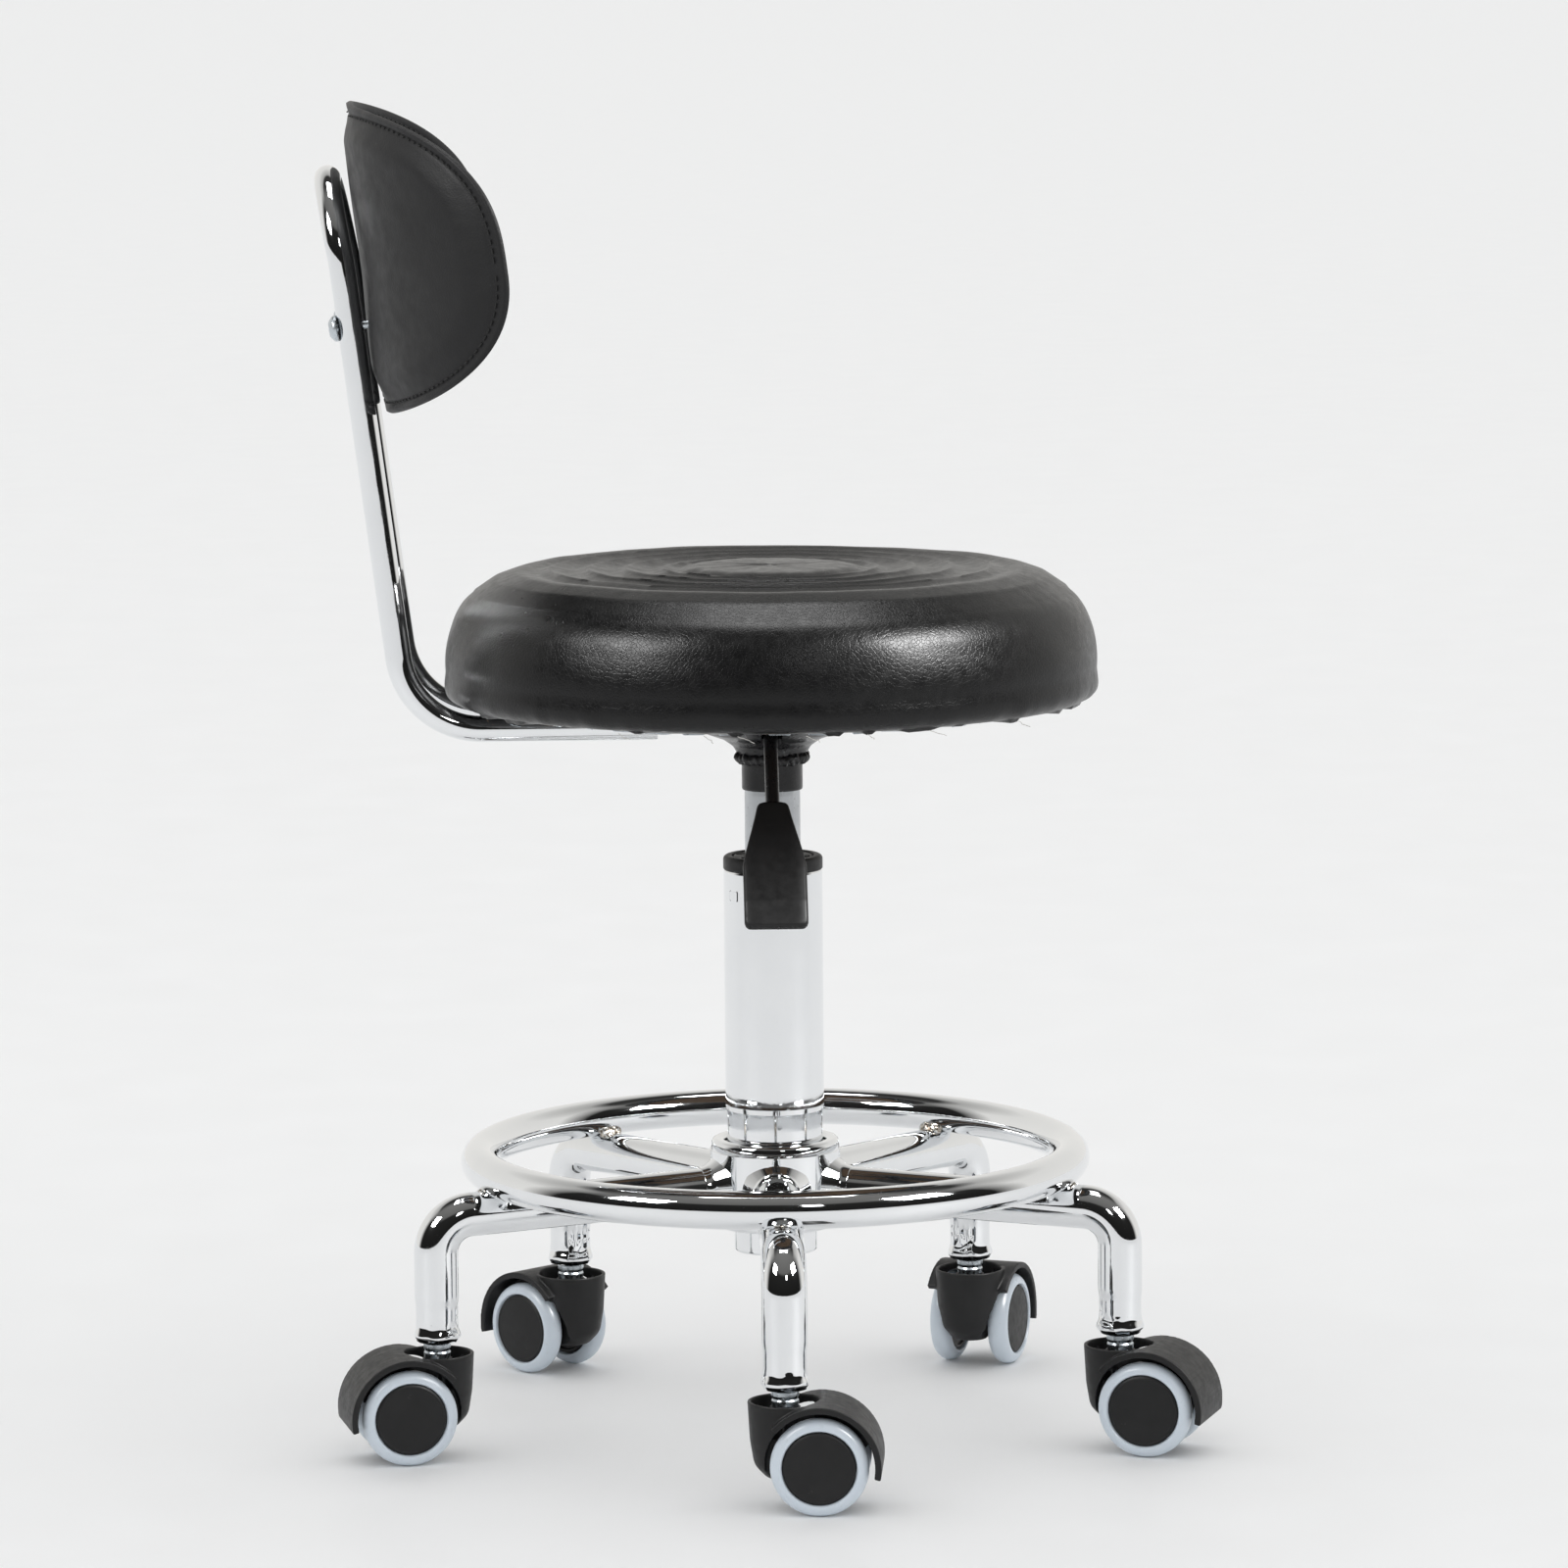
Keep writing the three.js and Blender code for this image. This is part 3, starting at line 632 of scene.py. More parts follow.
def build_casters():
    hood = hood_mesh()
    stem = make_mesh("caster_stem", *turned(outline(
        (0, 30), (5.5, 30), (5.5, 50.6), (6.4, 51, 0.4), (6.8, 53.4, 0.8), (6.2, 54.6, 0.4), (6.8, 55.8, 0.8),
        (6.8, 58.2, 0.5), (5.5, 58.8), (5.5, 84), (0, 84)), 48))
    axle = make_mesh("caster_axle", *turned(outline(
        (0, -17.4), (2.9, -17.4, 0.6), (2.9, 17.4, 0.6), (0, 17.4)), 32))
    tyre_outline = [(19.3 + 4.7 * math.cos(a), 5.5 * math.sin(a))
                    for a in [math.radians(-97 + 194 * k / 28) for k in range(29)]]
    tyre_shape = turned([(18.15, -4.6), *tyre_outline, (18.15, 4.6)], 96, closed=True)
    tyre = make_mesh("caster_tyre", *tyre_shape, sharp=50)
    hub = make_mesh("caster_hub", *turned(outline(
        (0, 2), (3.5, 2), (3.5, -5.6), (6, -5.6, 0.4), (6.4, -3.6, 0.6), (15.5, -3.6, 0.8), (16, -4.8, 0.4),
        (17.8, -4.8, 0.5), (17.85, 4.5, 0.7), (16.6, 5.15, 0.3), (16.2, 5.0, 0.3), (8, 5.45, 6),
        (0, 5.65)), 96))
    for mesh, slot in ((stem, "zinc"), (axle, "zinc"), (tyre, "grey_tyre"), (hub, "black_plastic")):
        mesh.materials.append(LOOKS[slot])
    for i, heading in enumerate(CASTER_HEADINGS):
        number = i + 1
        swing = math.radians(-90 + BASE_TURN + 72 * i)
        stand = shift(LEG_END * math.cos(swing), LEG_END * math.sin(swing)) @ turn_z(heading)
        across = shift(TRAIL, 0, WHEEL_RADIUS) @ Matrix.Rotation(-math.pi / 2, 4, "X")
        stands_for(f"caster_{number}_hood", hood, place=place_mm(stand))
        stands_for(f"caster_{number}_stem", stem, place=place_mm(stand))
        stands_for(f"caster_{number}_axle", axle, place=place_mm(stand @ across))
        for side, way in (("left", 1), ("right", -1)):
            spin = random.uniform(0, 360)
            lying = Matrix.Rotation(-way * math.pi / 2, 4, "X")
            face = shift(TRAIL, way * WHEEL_OFFSET, WHEEL_RADIUS) @ lying
            place = place_mm(stand @ face @ turn_z(spin))
            stands_for(f"caster_{number}_tyre_{side}", tyre, place=place)
            stands_for(f"caster_{number}_hub_{side}", hub, place=place)


build_casters()


# ------------------------------------------------------------------ base
def leg_shape():
    """A tube along +X from the hub, bent down, fluted inside the bend's foot and flared to a beaten lip."""
    slope = math.radians(LEG_SLOPE)
    corner_z = LEG_AXIS_Z - LEG_END * math.tan(slope)
    root = Vector((29, 0, LEG_AXIS_Z - 29 * math.tan(slope)))
    heights = [84 - 0.8 * k for k in range(32)]
    path = rounded([root, (LEG_END, 0, corner_z), (LEG_END, 0, 85)], [0, LEG_BEND, 0], steps=28)
    path = [Vector(p) for p in path]
    straight = [path[0].lerp(path[1], k / 10) for k in range(10)]
    path = straight + path[1:] + [Vector((LEG_END, 0, z)) for z in heights if z > LEG_BOTTOM]
    path.append(Vector((LEG_END, 0, LEG_BOTTOM)))

    def radius(i, angle, normal, across):
        z = path[i].z
        if path[i].x < LEG_END - 0.5 or z > 84:
            return 1.0
        reach = LEG_TUBE - 0.5 * ease((82 - z) / 6)
        reach += 1.25 * ease((67 - z) / 4.5) - 1.5 * ease((62 - z) / 2.8)
        way = normal * math.cos(angle) + across * math.sin(angle)
        inside = math.atan2(way.y, -way.x)
        flutes = sum(bell(inside - math.radians(a), 0.062) for a in (-34, -12, 11, 33))
        reach -= 0.95 * flutes * bell(z - 74.5, 6.2) ** 2
        beaten = noise.noise(Vector((way.x * 2.6, way.y * 2.6, z * 0.16)))
        reach += 0.75 * beaten * ease((70 - z) / 4)
        return reach / LEG_TUBE

    return swept(path, LEG_TUBE, 64, shape=radius)


def weld_bead(length, width, seed):
    """A lumpy little bead lying along Y."""
    sections = []
    for i in range(15):
        t = i / 14
        reach = width / 2 * math.sqrt(max(1 - (2 * t - 1) ** 4, 0.004))
        ring = []
        for j in range(18):
            angle = math.tau * j / 18
            lump = 1 + 0.34 * noise.noise(Vector((math.cos(angle), math.sin(angle), t * 7 + seed)) * 1.3)
            ring.append((reach * lump * math.cos(angle), (t - 0.5) * length, reach * lump * math.sin(angle)))
        sections.append(ring)
    return lofted(sections)


def build_base():
    stands_for("base_hub", turned(outline(
        (22.8, hub_low.z, 0.6), (HUB_RADIUS - 1.2, hub_low.z, 2.5), (HUB_RADIUS, hub_high.z - 5.6),
        (HUB_RADIUS - 0.5, hub_high.z - 5.3), (HUB_RADIUS - 0.9, hub_high.z + 0.1, 5.0),
        (25.7, hub_high.z + 0.1, 2.2), (25.5, hub_high.z - 5, 0.5), (22.8, hub_high.z - 5),
        closed=True, steps=8), 128, closed=True))
    leg = make_mesh("leg", *leg_shape())
    contact = Vector((RING_RADIUS, 0, RING_Z - RING_TUBE))
    paint(leg, "heat", lambda p: 1.5 * bell((p - contact).length, 19) if p.z > 100 else 0.0)
    leg.materials.append(LOOKS["chrome"])
    neck = outline((LEG_TUBE - 0.6, 40.5), (LEG_TUBE + 0.25, 40.2, 0.2), (LEG_TUBE + 0.9, 36.8, 6),
                   (LEG_TUBE + 6.5, 29), (LEG_TUBE - 0.6, 27), closed=True, steps=8)
    tilt = Matrix.Rotation(math.pi / 2 + math.radians(LEG_SLOPE), 4, "Y")
    for i in range(5):
        turn = turn_z(-90 + BASE_TURN + 72 * i)
        stands_for(f"leg_{i + 1}", leg, place=turn)
        root = place_mm(turn @ shift(0, 0, LEG_AXIS_Z) @ tilt)
        piece(f"leg_{i + 1}_weld", turned(neck, 64, closed=True), f"leg_{i + 1}", place=root)
        for side, x in (("inner", RING_RADIUS - 7.2), ("outer", RING_RADIUS + 6.3)):
            length, width = (13, 6.4) if side == "inner" else (9, 3.4)
            bead = weld_bead(length, width, i * 3.7 + x)
            spot = place_mm(turn @ shift(x, 0, RING_Z - RING_TUBE + (2.2 if side == "inner" else 0.6)))
            piece(f"ring_weld_{i + 1}_{side}", bead, "foot_ring", look=WELD, place=spot)
    turns = [math.tau * k / 200 for k in range(200)]
    ring_path = [(RING_RADIUS * math.cos(turn), RING_RADIUS * math.sin(turn), RING_Z) for turn in turns]
    ring = stands_for("foot_ring", swept(ring_path, RING_TUBE, 40, closed=True))
    welds = [turn_z(-90 + BASE_TURN + 72 * i) @ contact for i in range(5)]
    paint(ring.data, "heat", lambda p: 0.8 * max(bell((p - spot).length, 14) for spot in welds))


build_base()


# ------------------------------------------------------------------ gas column
def build_column():
    edge = column_high.z + 2  # the cap's skirt is shorter than the CAD model's
    stands_for("outer_column", turned(outline(
        (18.6, 93, 0.5), (21, 93, 4), (21, 107, 0.5), (22.4, 107.6, 0.5), (24.2, 150), (24.45, 165.6, 0.4),
        (25, 168, 1.6), (25, 171), (25, edge - 1), (24.7, edge, 0.3), (21.7, edge), (21.7, 134), (19, 126),
        (19, 100.3), (4.6, 100.3), (4.6, 97), (18.6, 97), closed=True, steps=8), 160, closed=True))
    stands_for("guide_bush", turned(outline(
        (14.3, 216), (21.4, 216), (21.4, edge + 0.2), (25.1, edge + 0.2, 0.4), (25.1, CAP_TOP, 2.6),
        (20.9, CAP_TOP, 0.5), (20.7, CAP_TOP - 1.3, 0.3), (19.9, CAP_TOP - 1.3, 0.3),
        (19.7, CAP_TOP - 0.4, 0.4), (15.3, CAP_TOP - 0.2, 0.6), (14.3, CAP_TOP - 1.4),
        closed=True), 128, closed=True))
    slots = [moved(block((15.6, -2.4, CAP_TOP - 0.45), (19.2, 2.4, CAP_TOP + 0.05), 0.8), turn_z(40 + 60 * k))
             for k in range(6)]
    piece("guide_bush_lugs", combined(*slots), "guide_bush", look=LOOKS["black_rubber"])
    stands_for("gas_cylinder", turned(outline(
        (4.3, 112), (13, 112, 0.4), (14, 114, 1), (14, 326, 3), (13.1, 350, 0.5), (3.3, 350), (3.3, 318),
        (11.5, 318), (11.5, 120), (4.3, 120), closed=True), 96, closed=True))
    stands_for("piston_rod", turned(outline(
        (0, 93.4), (3.6, 93.4, 0.4), (4, 94.2, 0.3), (4, 296), (11.1, 296, 0.5), (11.1, 306, 0.5),
        (0, 306)), 48))
    stands_for("thrust_bearing", turned(outline(
        (4.3, 100.6), (13, 100.6, 0.5), (13, 102.2, 0.4), (11.8, 102.6, 0.3), (11.8, 105, 0.3),
        (13, 105.4, 0.4), (13, 107, 0.5), (4.3, 107), closed=True), 64, closed=True))
    stands_for("bump_stop", turned(outline(
        (4.3, 107.3), (9, 107.3, 1), (10, 109.5, 2), (9, 111.7, 1), (4.3, 111.7),
        closed=True), 48, closed=True))
    stands_for("retaining_clip", turned(outline(
        (4.3, 94.6), (8.5, 94.6, 0.4), (8.5, 96.2, 0.4), (4.3, 96.2), closed=True), 48, closed=True))
    stands_for("release_button", turned(outline((0, 312), (3, 312), (3, 355, 0.6), (0, 355)), 32))
    sleeve_low, sleeve_high = SLEEVE_LOW.z, SLEEVE_HIGH.z
    stands_for("socket_sleeve", turned(outline(
        (14.25, sleeve_low, 0.2), (15.1, sleeve_low, 0.4), (15.35, sleeve_low + 1, 0.5),
        (15.35, sleeve_high, 0.3), (13.6, sleeve_high), closed=True), 96, closed=True))
    build_window()


def build_window():
    """The locking tab of the guide bush, showing in a small window of the column."""
    def plate(half_width, half_height, low, high, corner):
        flat = rounded([(-half_width, -half_height), (half_width, -half_height), (half_width, half_height),
                        (-half_width, half_height)], [corner] * 4, closed=True, steps=5)
        around = [(a / COLUMN_RADIUS, z) for a, z in flat]
        return lofted([[(reach * math.cos(a), reach * math.sin(a), z) for a, z in around]
                       for reach in (low, high)])
    window = place_mm(turn_z(-143) @ shift(0, 0, 276))
    piece("column_window", plate(3.4, 2.7, 24.6, 25.04, 0.9), "outer_column",
          look=LOOKS["black_rubber"], place=window)
    piece("column_tab", plate(2.9, 2.2, 24.6, 25.3, 0.7), "outer_column", look=LOOKS["chrome"], place=window)


build_column()


# ------------------------------------------------------------------ seat plate and lever
def build_plate():
    bell_shape = outline(
        (15.65, 342.2, 0.4), (17.4, 342.2, 0.8), (17.5, 346.6, 0.8), (19.8, 350.6, 5), (25, 354.2, 8),
        (34, 357.4, 10), (41, 361.5, 6), (42.5, 368.6, 1.2), (46, 368.6, 0.5), (46, 371.4, 0.5),
        (40, 371.4, 0.5), (38.5, 363.5, 3), (32, 359.4, 6), (23, 356, 4), (15.65, 350, 1),
        closed=True, steps=6)
    plate = Solid(turned(bell_shape, 128, closed=True)).cut(block((-5.2, -50, 346), (5.2, -24, 368), 2))
    stands_for("seat_plate", plate.mesh("seat_plate", 35))
    seam = [(15.9 * math.cos(math.tau * k / 150), 15.9 * math.sin(math.tau * k / 150),
             344.9 + 0.4 * noise.noise(Vector((k * 0.21, 3, 0)))) for k in range(150)]

    def lumps(i, angle, normal, across):
        around = math.tau * i / 150
        spot = Vector((math.cos(around) * 9, math.sin(around) * 9, math.cos(angle) * 1.4))
        drops = 0.32 * noise.noise(spot)
        return 1.0 + drops + 0.14 * math.sin(around * 31 + 2 * math.cos(angle))

    piece("seat_plate_weld", swept(seam, 2.9, 14, closed=True, shape=lumps), "seat_plate")


def lever_point(distance, across=0.0, lift=0.0):
    """A point on the sloping part of the lever."""
    along, up = math.cos(LEVER_SLOPE), math.sin(LEVER_SLOPE)
    y = LEVER_BEND_Y - distance * along - lift * up
    return Vector((across, y, LEVER_Z + 1 - distance * up + lift * along))


def build_lever():
    knee = Vector((0, LEVER_BEND_Y + 0.6, LEVER_Z))
    route = rounded([(0, 8, LEVER_Z), knee, lever_point(64)], [0, 9, 0], steps=12)
    skew = place_mm(shift(-1.9) @ turn_z(1.9))
    stands_for("lever_rod", swept(route, LEVER_RADIUS, 32), place=skew)
    flare, length, root_half, full_half, crease = 36, PADDLE_LENGTH, 7.95, 15.7, 13.2
    sections = []
    stations = [0, 0.3, 1.0, 2.2, 4, 8, 16, 24, 30, 33, 36, 40, 46, 52, 55, 56.4, 57.2, 58, 60, 63, 66, 67.6,
                69, 69.9, 70.4]
    for u in stations:
        share = ease((u - 2) / (flare - 2)) * 0.25 + min(max((u - 2) / (flare - 2), 0), 1) * 0.75
        half = root_half + (full_half - root_half) * share
        start, end = min(u / 3.2, 1), min((length - u) / 3.4, 1)
        half -= 3.0 * (1 - math.sqrt(1 - (1 - start) ** 2)) + 3.0 * (1 - math.sqrt(1 - (1 - end) ** 2))
        near_end = min(u, length - u)
        roundness = math.sqrt(1 - (1 - min(near_end / 1.4, 1)) ** 2)
        thick = (7.6 - 2.9 * ease((u - 12) / 45)) * (0.55 + 0.45 * roundness)
        droop = -0.16 * max(u - (length - crease), 0)
        flat = rounded([(-half, -thick / 2), (half, -thick / 2), (half, thick / 2), (-half, thick / 2)],
                       [min(1.5, thick * 0.42)] * 4, closed=True, steps=4)
        section = []
        face_half = half - min(1.5, thick * 0.42)
        spread = [Vector((face_half * (k / 4 - 1), 0)) for k in range(1, 8)]
        quarter = len(flat) // 4
        flat = (flat[:quarter] + [Vector((v.x, -thick / 2)) for v in spread] + flat[quarter:3 * quarter]
                + [Vector((-v.x, thick / 2)) for v in spread] + flat[3 * quarter:])
        for v, w in flat:
            dish = -0.55 * ease((abs(v) - half + 3.2) / 3.2) * (1 if w > 0 else 0)
            section.append(lever_point(PADDLE_START + u, v, w + droop + dish))
        sections.append(section)
    stands_for("lever_paddle", lofted(sections), sharp=42, place=skew)
    tip = lever_point(PADDLE_START + length, 0.8, -0.16 * crease)
    nub = turned(outline((0, -1), (1.1, -1), (0.8, 0.55, 0.4), (0, 0.6)), 24)
    way = (lever_point(1) - lever_point(0)).to_track_quat("Z", "X").to_matrix().to_4x4()
    piece("lever_paddle_nub", moved(nub, Matrix.Translation(tip) @ way), "lever_paddle", place=skew)


build_plate()
build_lever()


# ------------------------------------------------------------------ soft parts
def inflated(points, faces, pinned, cap, pressure):
    """The points of a closed skin after it is blown up as cloth; none moves more than `cap` millimetres."""
    obj = loose_object("cloth", make_mesh("cloth", points, faces))
    group = obj.vertex_groups.new(name="pinned")
    group.add(pinned, 1.0, "REPLACE")
    cloth = obj.modifiers.new("cloth", "CLOTH").settings
    cloth.vertex_group_mass = "pinned"
    cloth.quality = 6
    cloth.tension_stiffness = cloth.compression_stiffness = 15
    cloth.bending_stiffness = 0.5
    cloth.use_pressure = True
    cloth.uniform_pressure_force = pressure
    cloth.effector_weights.gravity = 0
    for number in range(1, 21):
        scene.frame_set(number)
    graph = bpy.context.evaluated_depsgraph_get()
    ways = [v.co / MM - Vector(old) for v, old in zip(obj.evaluated_get(graph).data.vertices, points)]
    edges = [tuple(edge.vertices) for edge in obj.data.edges]
    scene.frame_set(1)
    bpy.data.objects.remove(obj)
    for _ in range(45):  # foam under the cover evens its folds out
        total = [way.copy() for way in ways]
        number = [1] * len(ways)
        for a, b in edges:
            total[a] += ways[b]
            total[b] += ways[a]
            number[a] += 1
            number[b] += 1
        ways = [way / count for way, count in zip(total, number)]
    return [Vector(old) + way * (min(way.length, cap) / max(way.length, 1e-6))
            for old, way in zip(points, ways)]


def through(points, steps):
    """A smooth curve through given points."""
    points = [Vector(p) for p in points]
    ends = [2 * points[0] - points[1], *points, 2 * points[-1] - points[-2]]
    path = []
    for a, b, c, d in zip(ends, ends[1:], ends[2:], ends[3:]):
        for k in range(steps):
            t = k / steps
            path.append(0.5 * (2 * b + (c - a) * t + (2 * a - 5 * b + 4 * c - d) * t * t
                               + (3 * b - a - 3 * c + d) * t ** 3))
    return path + [points[-1]]


CREST_RADII = (53.5, 72.5, 91.5, 111)


def crest_relief(r):
    """Height of the pressed rings over the plain seat top: crests at each radius, channels between."""
    if r < CREST_RADII[0]:
        return -2.2 * bell(r - CREST_RADII[0] + 5.5, 5.0) + 0.4 * (1 - (r / CREST_RADII[0]) ** 2)
    for inner, outer in zip(CREST_RADII, CREST_RADII[1:]):
        if r < outer:
            u = (r - inner) / (outer - inner)
            return -2.6 * math.sin(math.pi * u ** 0.8) ** 0.9
    return -2.2 * bell(r - CREST_RADII[-1] - 6.5, 5.5)


def build_cushion():
    side = [(152, 374.8), (157.5, 374.8), (162.4, 378), (165.2, 384), (166.3, 392), (165.7, 401),
            (163.4, 411), (159.2, 420.5), (152.6, 428.6), (143.5, 433.8), (132, 436.2), (119, 437)]
    edge = through(side, 7)
    top = [(r, 437) for r in [118 - 0.9 * k for k in range(1, 132)] if r > 0.5]
    profile = [tuple(p) for p in edge] + top + [(0, 437)]
    steps = 288
    coarse = turned([(150.3, 386), (150.3, 374), *[(r - 2.5, z - 1.5) for r, z in through(side, 1)],
                     *[(100 - 12 * k, 435.5) for k in range(9)], (0, 435.5)], 84)
    under = len(coarse[0])
    coarse[0].append(Vector((0, 0, 386)))
    coarse[1].extend([[j, (j + 1) % 84, under] for j in range(84)])
    pinned = [i for i, p in enumerate(coarse[0]) if p.z < 376 or (p.z < 387 and math.hypot(p.x, p.y) < 151)]
    soft = inflated(*coarse, pinned, 5, 4)
    tree = BVHTree.FromPolygons([tuple(p) for p in soft], coarse[1])
    points, faces = turned(profile, steps)
    rows_of_side = len(edge)
    shaped = []
    for index, point in enumerate(points):
        row = index // steps
        radius = math.hypot(point.x, point.y)
        out = Vector((point.x, point.y, 0)).normalized() if radius > 0.01 else Vector()
        if row < rows_of_side:
            lean = ease((point.z - 395) / 40)
            normal = (out * (1 - lean) + Z * lean).normalized()
        else:
            normal = Z
        hit = tree.ray_cast(point + normal * 40, -normal, 80)
        gain = 0.0
        if hit[0] is not None and point.z > 379:
            gain = max(min(40 - hit[3], 3.0), -2.5) * ease((point.z - 379) / 12)
        gain += 0.5 * noise.noise(Vector((out.x * 5, out.y * 5, point.z * 0.05))) * ease((point.z - 376) / 10)
        if radius < 140:
            drift = 0.7 * noise.noise(Vector((out.x * 2.2, out.y * 2.2, 9)))
            gain += crest_relief(radius + drift) + 1.5 * (1 - (radius / 145) ** 6)
        pleat = noise.noise(Vector((out.x * 17, out.y * 17, 1.5)))
        pleat += 0.5 * noise.noise(Vector((out.x * 41, out.y * 41, 4)))
        gain += 1.0 * pleat * bell(point.z - 375.5, 6.5)
        shaped.append(point + normal * gain)
    inner = [(150.6, 375), (150.6, 385.9), (75, 385.9), (0, 385.9)]
    inner_points, inner_faces = turned(inner, steps)
    first = len(shaped)
    shaped += inner_points
    faces += [[first + i for i in face] for face in inner_faces]
    faces += [[j, (j + 1) % steps, first + (j + 1) % steps, first + j] for j in range(steps)]
    cushion = stands_for("seat_cushion", (shaped, faces), sharp=60)


def build_board():
    """The plywood disc and the cover's edge, folded under it and stapled."""
    stands_for("seat_board", turned(outline(
        (0, BOARD_LOW.z + 1.6), (BOARD_HIGH.x, BOARD_LOW.z + 1.6, 0.8), (BOARD_HIGH.x, BOARD_HIGH.z, 0.8),
        (0, BOARD_HIGH.z)), 160))
    steps = 360
    sections = []
    for j in range(steps):
        around = math.tau * j / steps
        out = Vector((math.cos(around), math.sin(around), 0))
        ragged = noise.noise(out * 7) * 5 + noise.noise(out * 29) * 2.4
        fold = noise.noise(out * 13 + Z * 5)
        hang = 2.2 * ease((fold - 0.08) / 0.3) + 1.2 * abs(noise.noise(out * 37))
        ring = [(158.5, 376.4), (157 - 1.5 * fold, 375.3 - hang), (152, 374.2 - hang * 0.55),
                (143, 372.7 - 0.4 * abs(fold)), (130 + ragged, 372.6), (127 + ragged, 373),
                (127.5 + ragged, 373.5), (143, 373.6), (153, 375)]
        sections.append([out * r + Z * z for r, z in ring])
    piece("seat_cover_hem", lofted(sections, closed=True), "seat_cushion", sharp=60)
    staples = []
    for k in range(44):
        around = 8.2 * k + random.uniform(-1.5, 1.5)
        wire = rounded([(0, -5, 373), (0, -5, 372), (0, 5, 372), (0, 5, 373)], [0, 0.6, 0.6, 0], steps=3)
        reach = random.uniform(136.5, 140)
        turn = turn_z(around) @ shift(reach) @ turn_z(random.uniform(-25, 25))
        staples.append(moved(swept(wire, 0.55, 6), turn))
    piece("seat_staples", combined(*staples), "seat_board", look=LOOKS["zinc"])
    threads = []
    for around, length in ((-84, 7), (-102, 5), (-61, 9), (-118, 5), (-40, 6), (-73, 4), (-96, 8)):
        start = Vector((157.5, 0, 373.4))
        path = [start + Vector((random.uniform(-1, 1) * t * 3, t * length,
                                -2.4 * t * (1 + random.random() * 0.5)))
                for t in [k / 6 for k in range(7)]]
        threads.append(moved(swept(path, 0.18, 6), turn_z(around)))
    piece("seat_cover_threads", combined(*threads), "seat_cushion", look=PALE_THREAD)


build_board()
build_cushion()


# ------------------------------------------------------------------ back rest
BACK_PLACE = turn_z(BACK_TURN)


def upright_x(z):
    """X of an upright's centre-line at height z."""
    foot_x = FRAME_BEND_X - FRAME_BEND * math.cos(FRAME_LEAN)
    foot_z = FRAME_Z + FRAME_BEND - FRAME_BEND * math.sin(FRAME_LEAN)
    return foot_x - (z - foot_z) * math.tan(FRAME_LEAN)


def build_frame():
    arch_z = FRAME_TOP - FRAME_SPREAD
    knee_x = upright_x(FRAME_Z)

    def side(y):
        corner_points = [(FRAME_END_X - 20, y, FRAME_Z), (knee_x, y, FRAME_Z), (upright_x(arch_z), y, arch_z)]
        path = rounded(corner_points, [0, FRAME_BEND, 0], steps=30)
        middle = [path[-2].lerp(path[-1], k / 12) for k in range(1, 12)]
        return path[:-1] + middle + [path[-1]]

    arch = []
    for k in range(1, 48):
        angle = math.pi * k / 48
        up = FRAME_SPREAD * math.sin(angle)
        back = up * math.tan(FRAME_LEAN) + FRAME_BOW * math.sin(angle)
        arch.append(Vector((upright_x(arch_z) - back, -FRAME_SPREAD * math.cos(angle), arch_z + up)))
    path = side(-FRAME_SPREAD) + arch + side(FRAME_SPREAD)[::-1]
    tube = swept(path, FRAME_TUBE, 40)
    tabs = []
    for y in (-FRAME_SPREAD, FRAME_SPREAD):
        top = FRAME_Z + FRAME_TUBE - 0.2
        sections = []
        for k in range(17):
            x = FRAME_END_X - 30 + 30 * k / 16
            flatten = ease(k / 7)
            half_width = FRAME_TUBE + (8 - FRAME_TUBE) * flatten
            half_height = FRAME_TUBE + (2.7 - FRAME_TUBE) * flatten
            end = math.sqrt(1 - max((k - 12) / 4.2, 0) ** 2)
            ring = []
            for j in range(32):
                angle = math.tau * j / 32
                squareness = 1 - 0.45 * flatten
                cos, sin = math.cos(angle), math.sin(angle)
                wide = math.copysign(abs(cos) ** squareness, cos) * half_width * end
                high = math.copysign(abs(sin) ** squareness, sin) * half_height
                ring.append((x, y + wide, top - half_height + high))
            sections.append(ring)
        tabs.append(lofted(sections))
    stands_for("back_frame", combined(tube, *tabs), place=BACK_PLACE)
    head_down = Matrix.Rotation(math.pi, 4, "X")
    for side_name, y in (("near", -FRAME_SPREAD), ("far", FRAME_SPREAD)):
        spot = shift(FRAME_END_X - 17, y, FRAME_Z + FRAME_TUBE - 5.8)
        piece(f"seat_bolt_{side_name}", moved(pan_head(7.2, 4.4, 5.0), spot @ head_down), "back_frame",
              look=LOOKS["zinc"], place=BACK_PLACE)
    lean = Matrix.Rotation(math.pi / 2 - FRAME_LEAN, 4, "Y")
    for name, y in (("left", FRAME_SPREAD), ("right", -FRAME_SPREAD)):
        node = f"back_screw_{name}"
        spot = shift(upright_x(SCREW_Z), y, SCREW_Z) @ lean
        head = moved(pan_head(6.5, 4.0, 24), spot @ shift(0, 0, -FRAME_TUBE - 0.2) @ head_down)
        stands_for(node, head, place=BACK_PLACE)


def pan_head(radius, height, shank):
    """A cross-recessed pan-head screw, head up, its bearing face at z = 0."""
    dome = outline((0, -shank), (2, -shank, 0.4), (2, 0, 0.1), (radius, 0, 0.3),
                   (radius - 0.2, height * 0.45, 1.2), (radius * 0.55, height, 2.5), (0, height))
    arm = block((-radius * 0.52, -0.65, height - 1.9), (radius * 0.52, 0.65, height + 2))
    screw = Solid(turned(dome, 48)).cut(moved(arm, turn_z(20)), moved(arm, turn_z(110)))
    mesh = screw.mesh("pan_head", 35)
    return [v.co / MM for v in mesh.vertices], [list(f.vertices) for f in mesh.polygons]


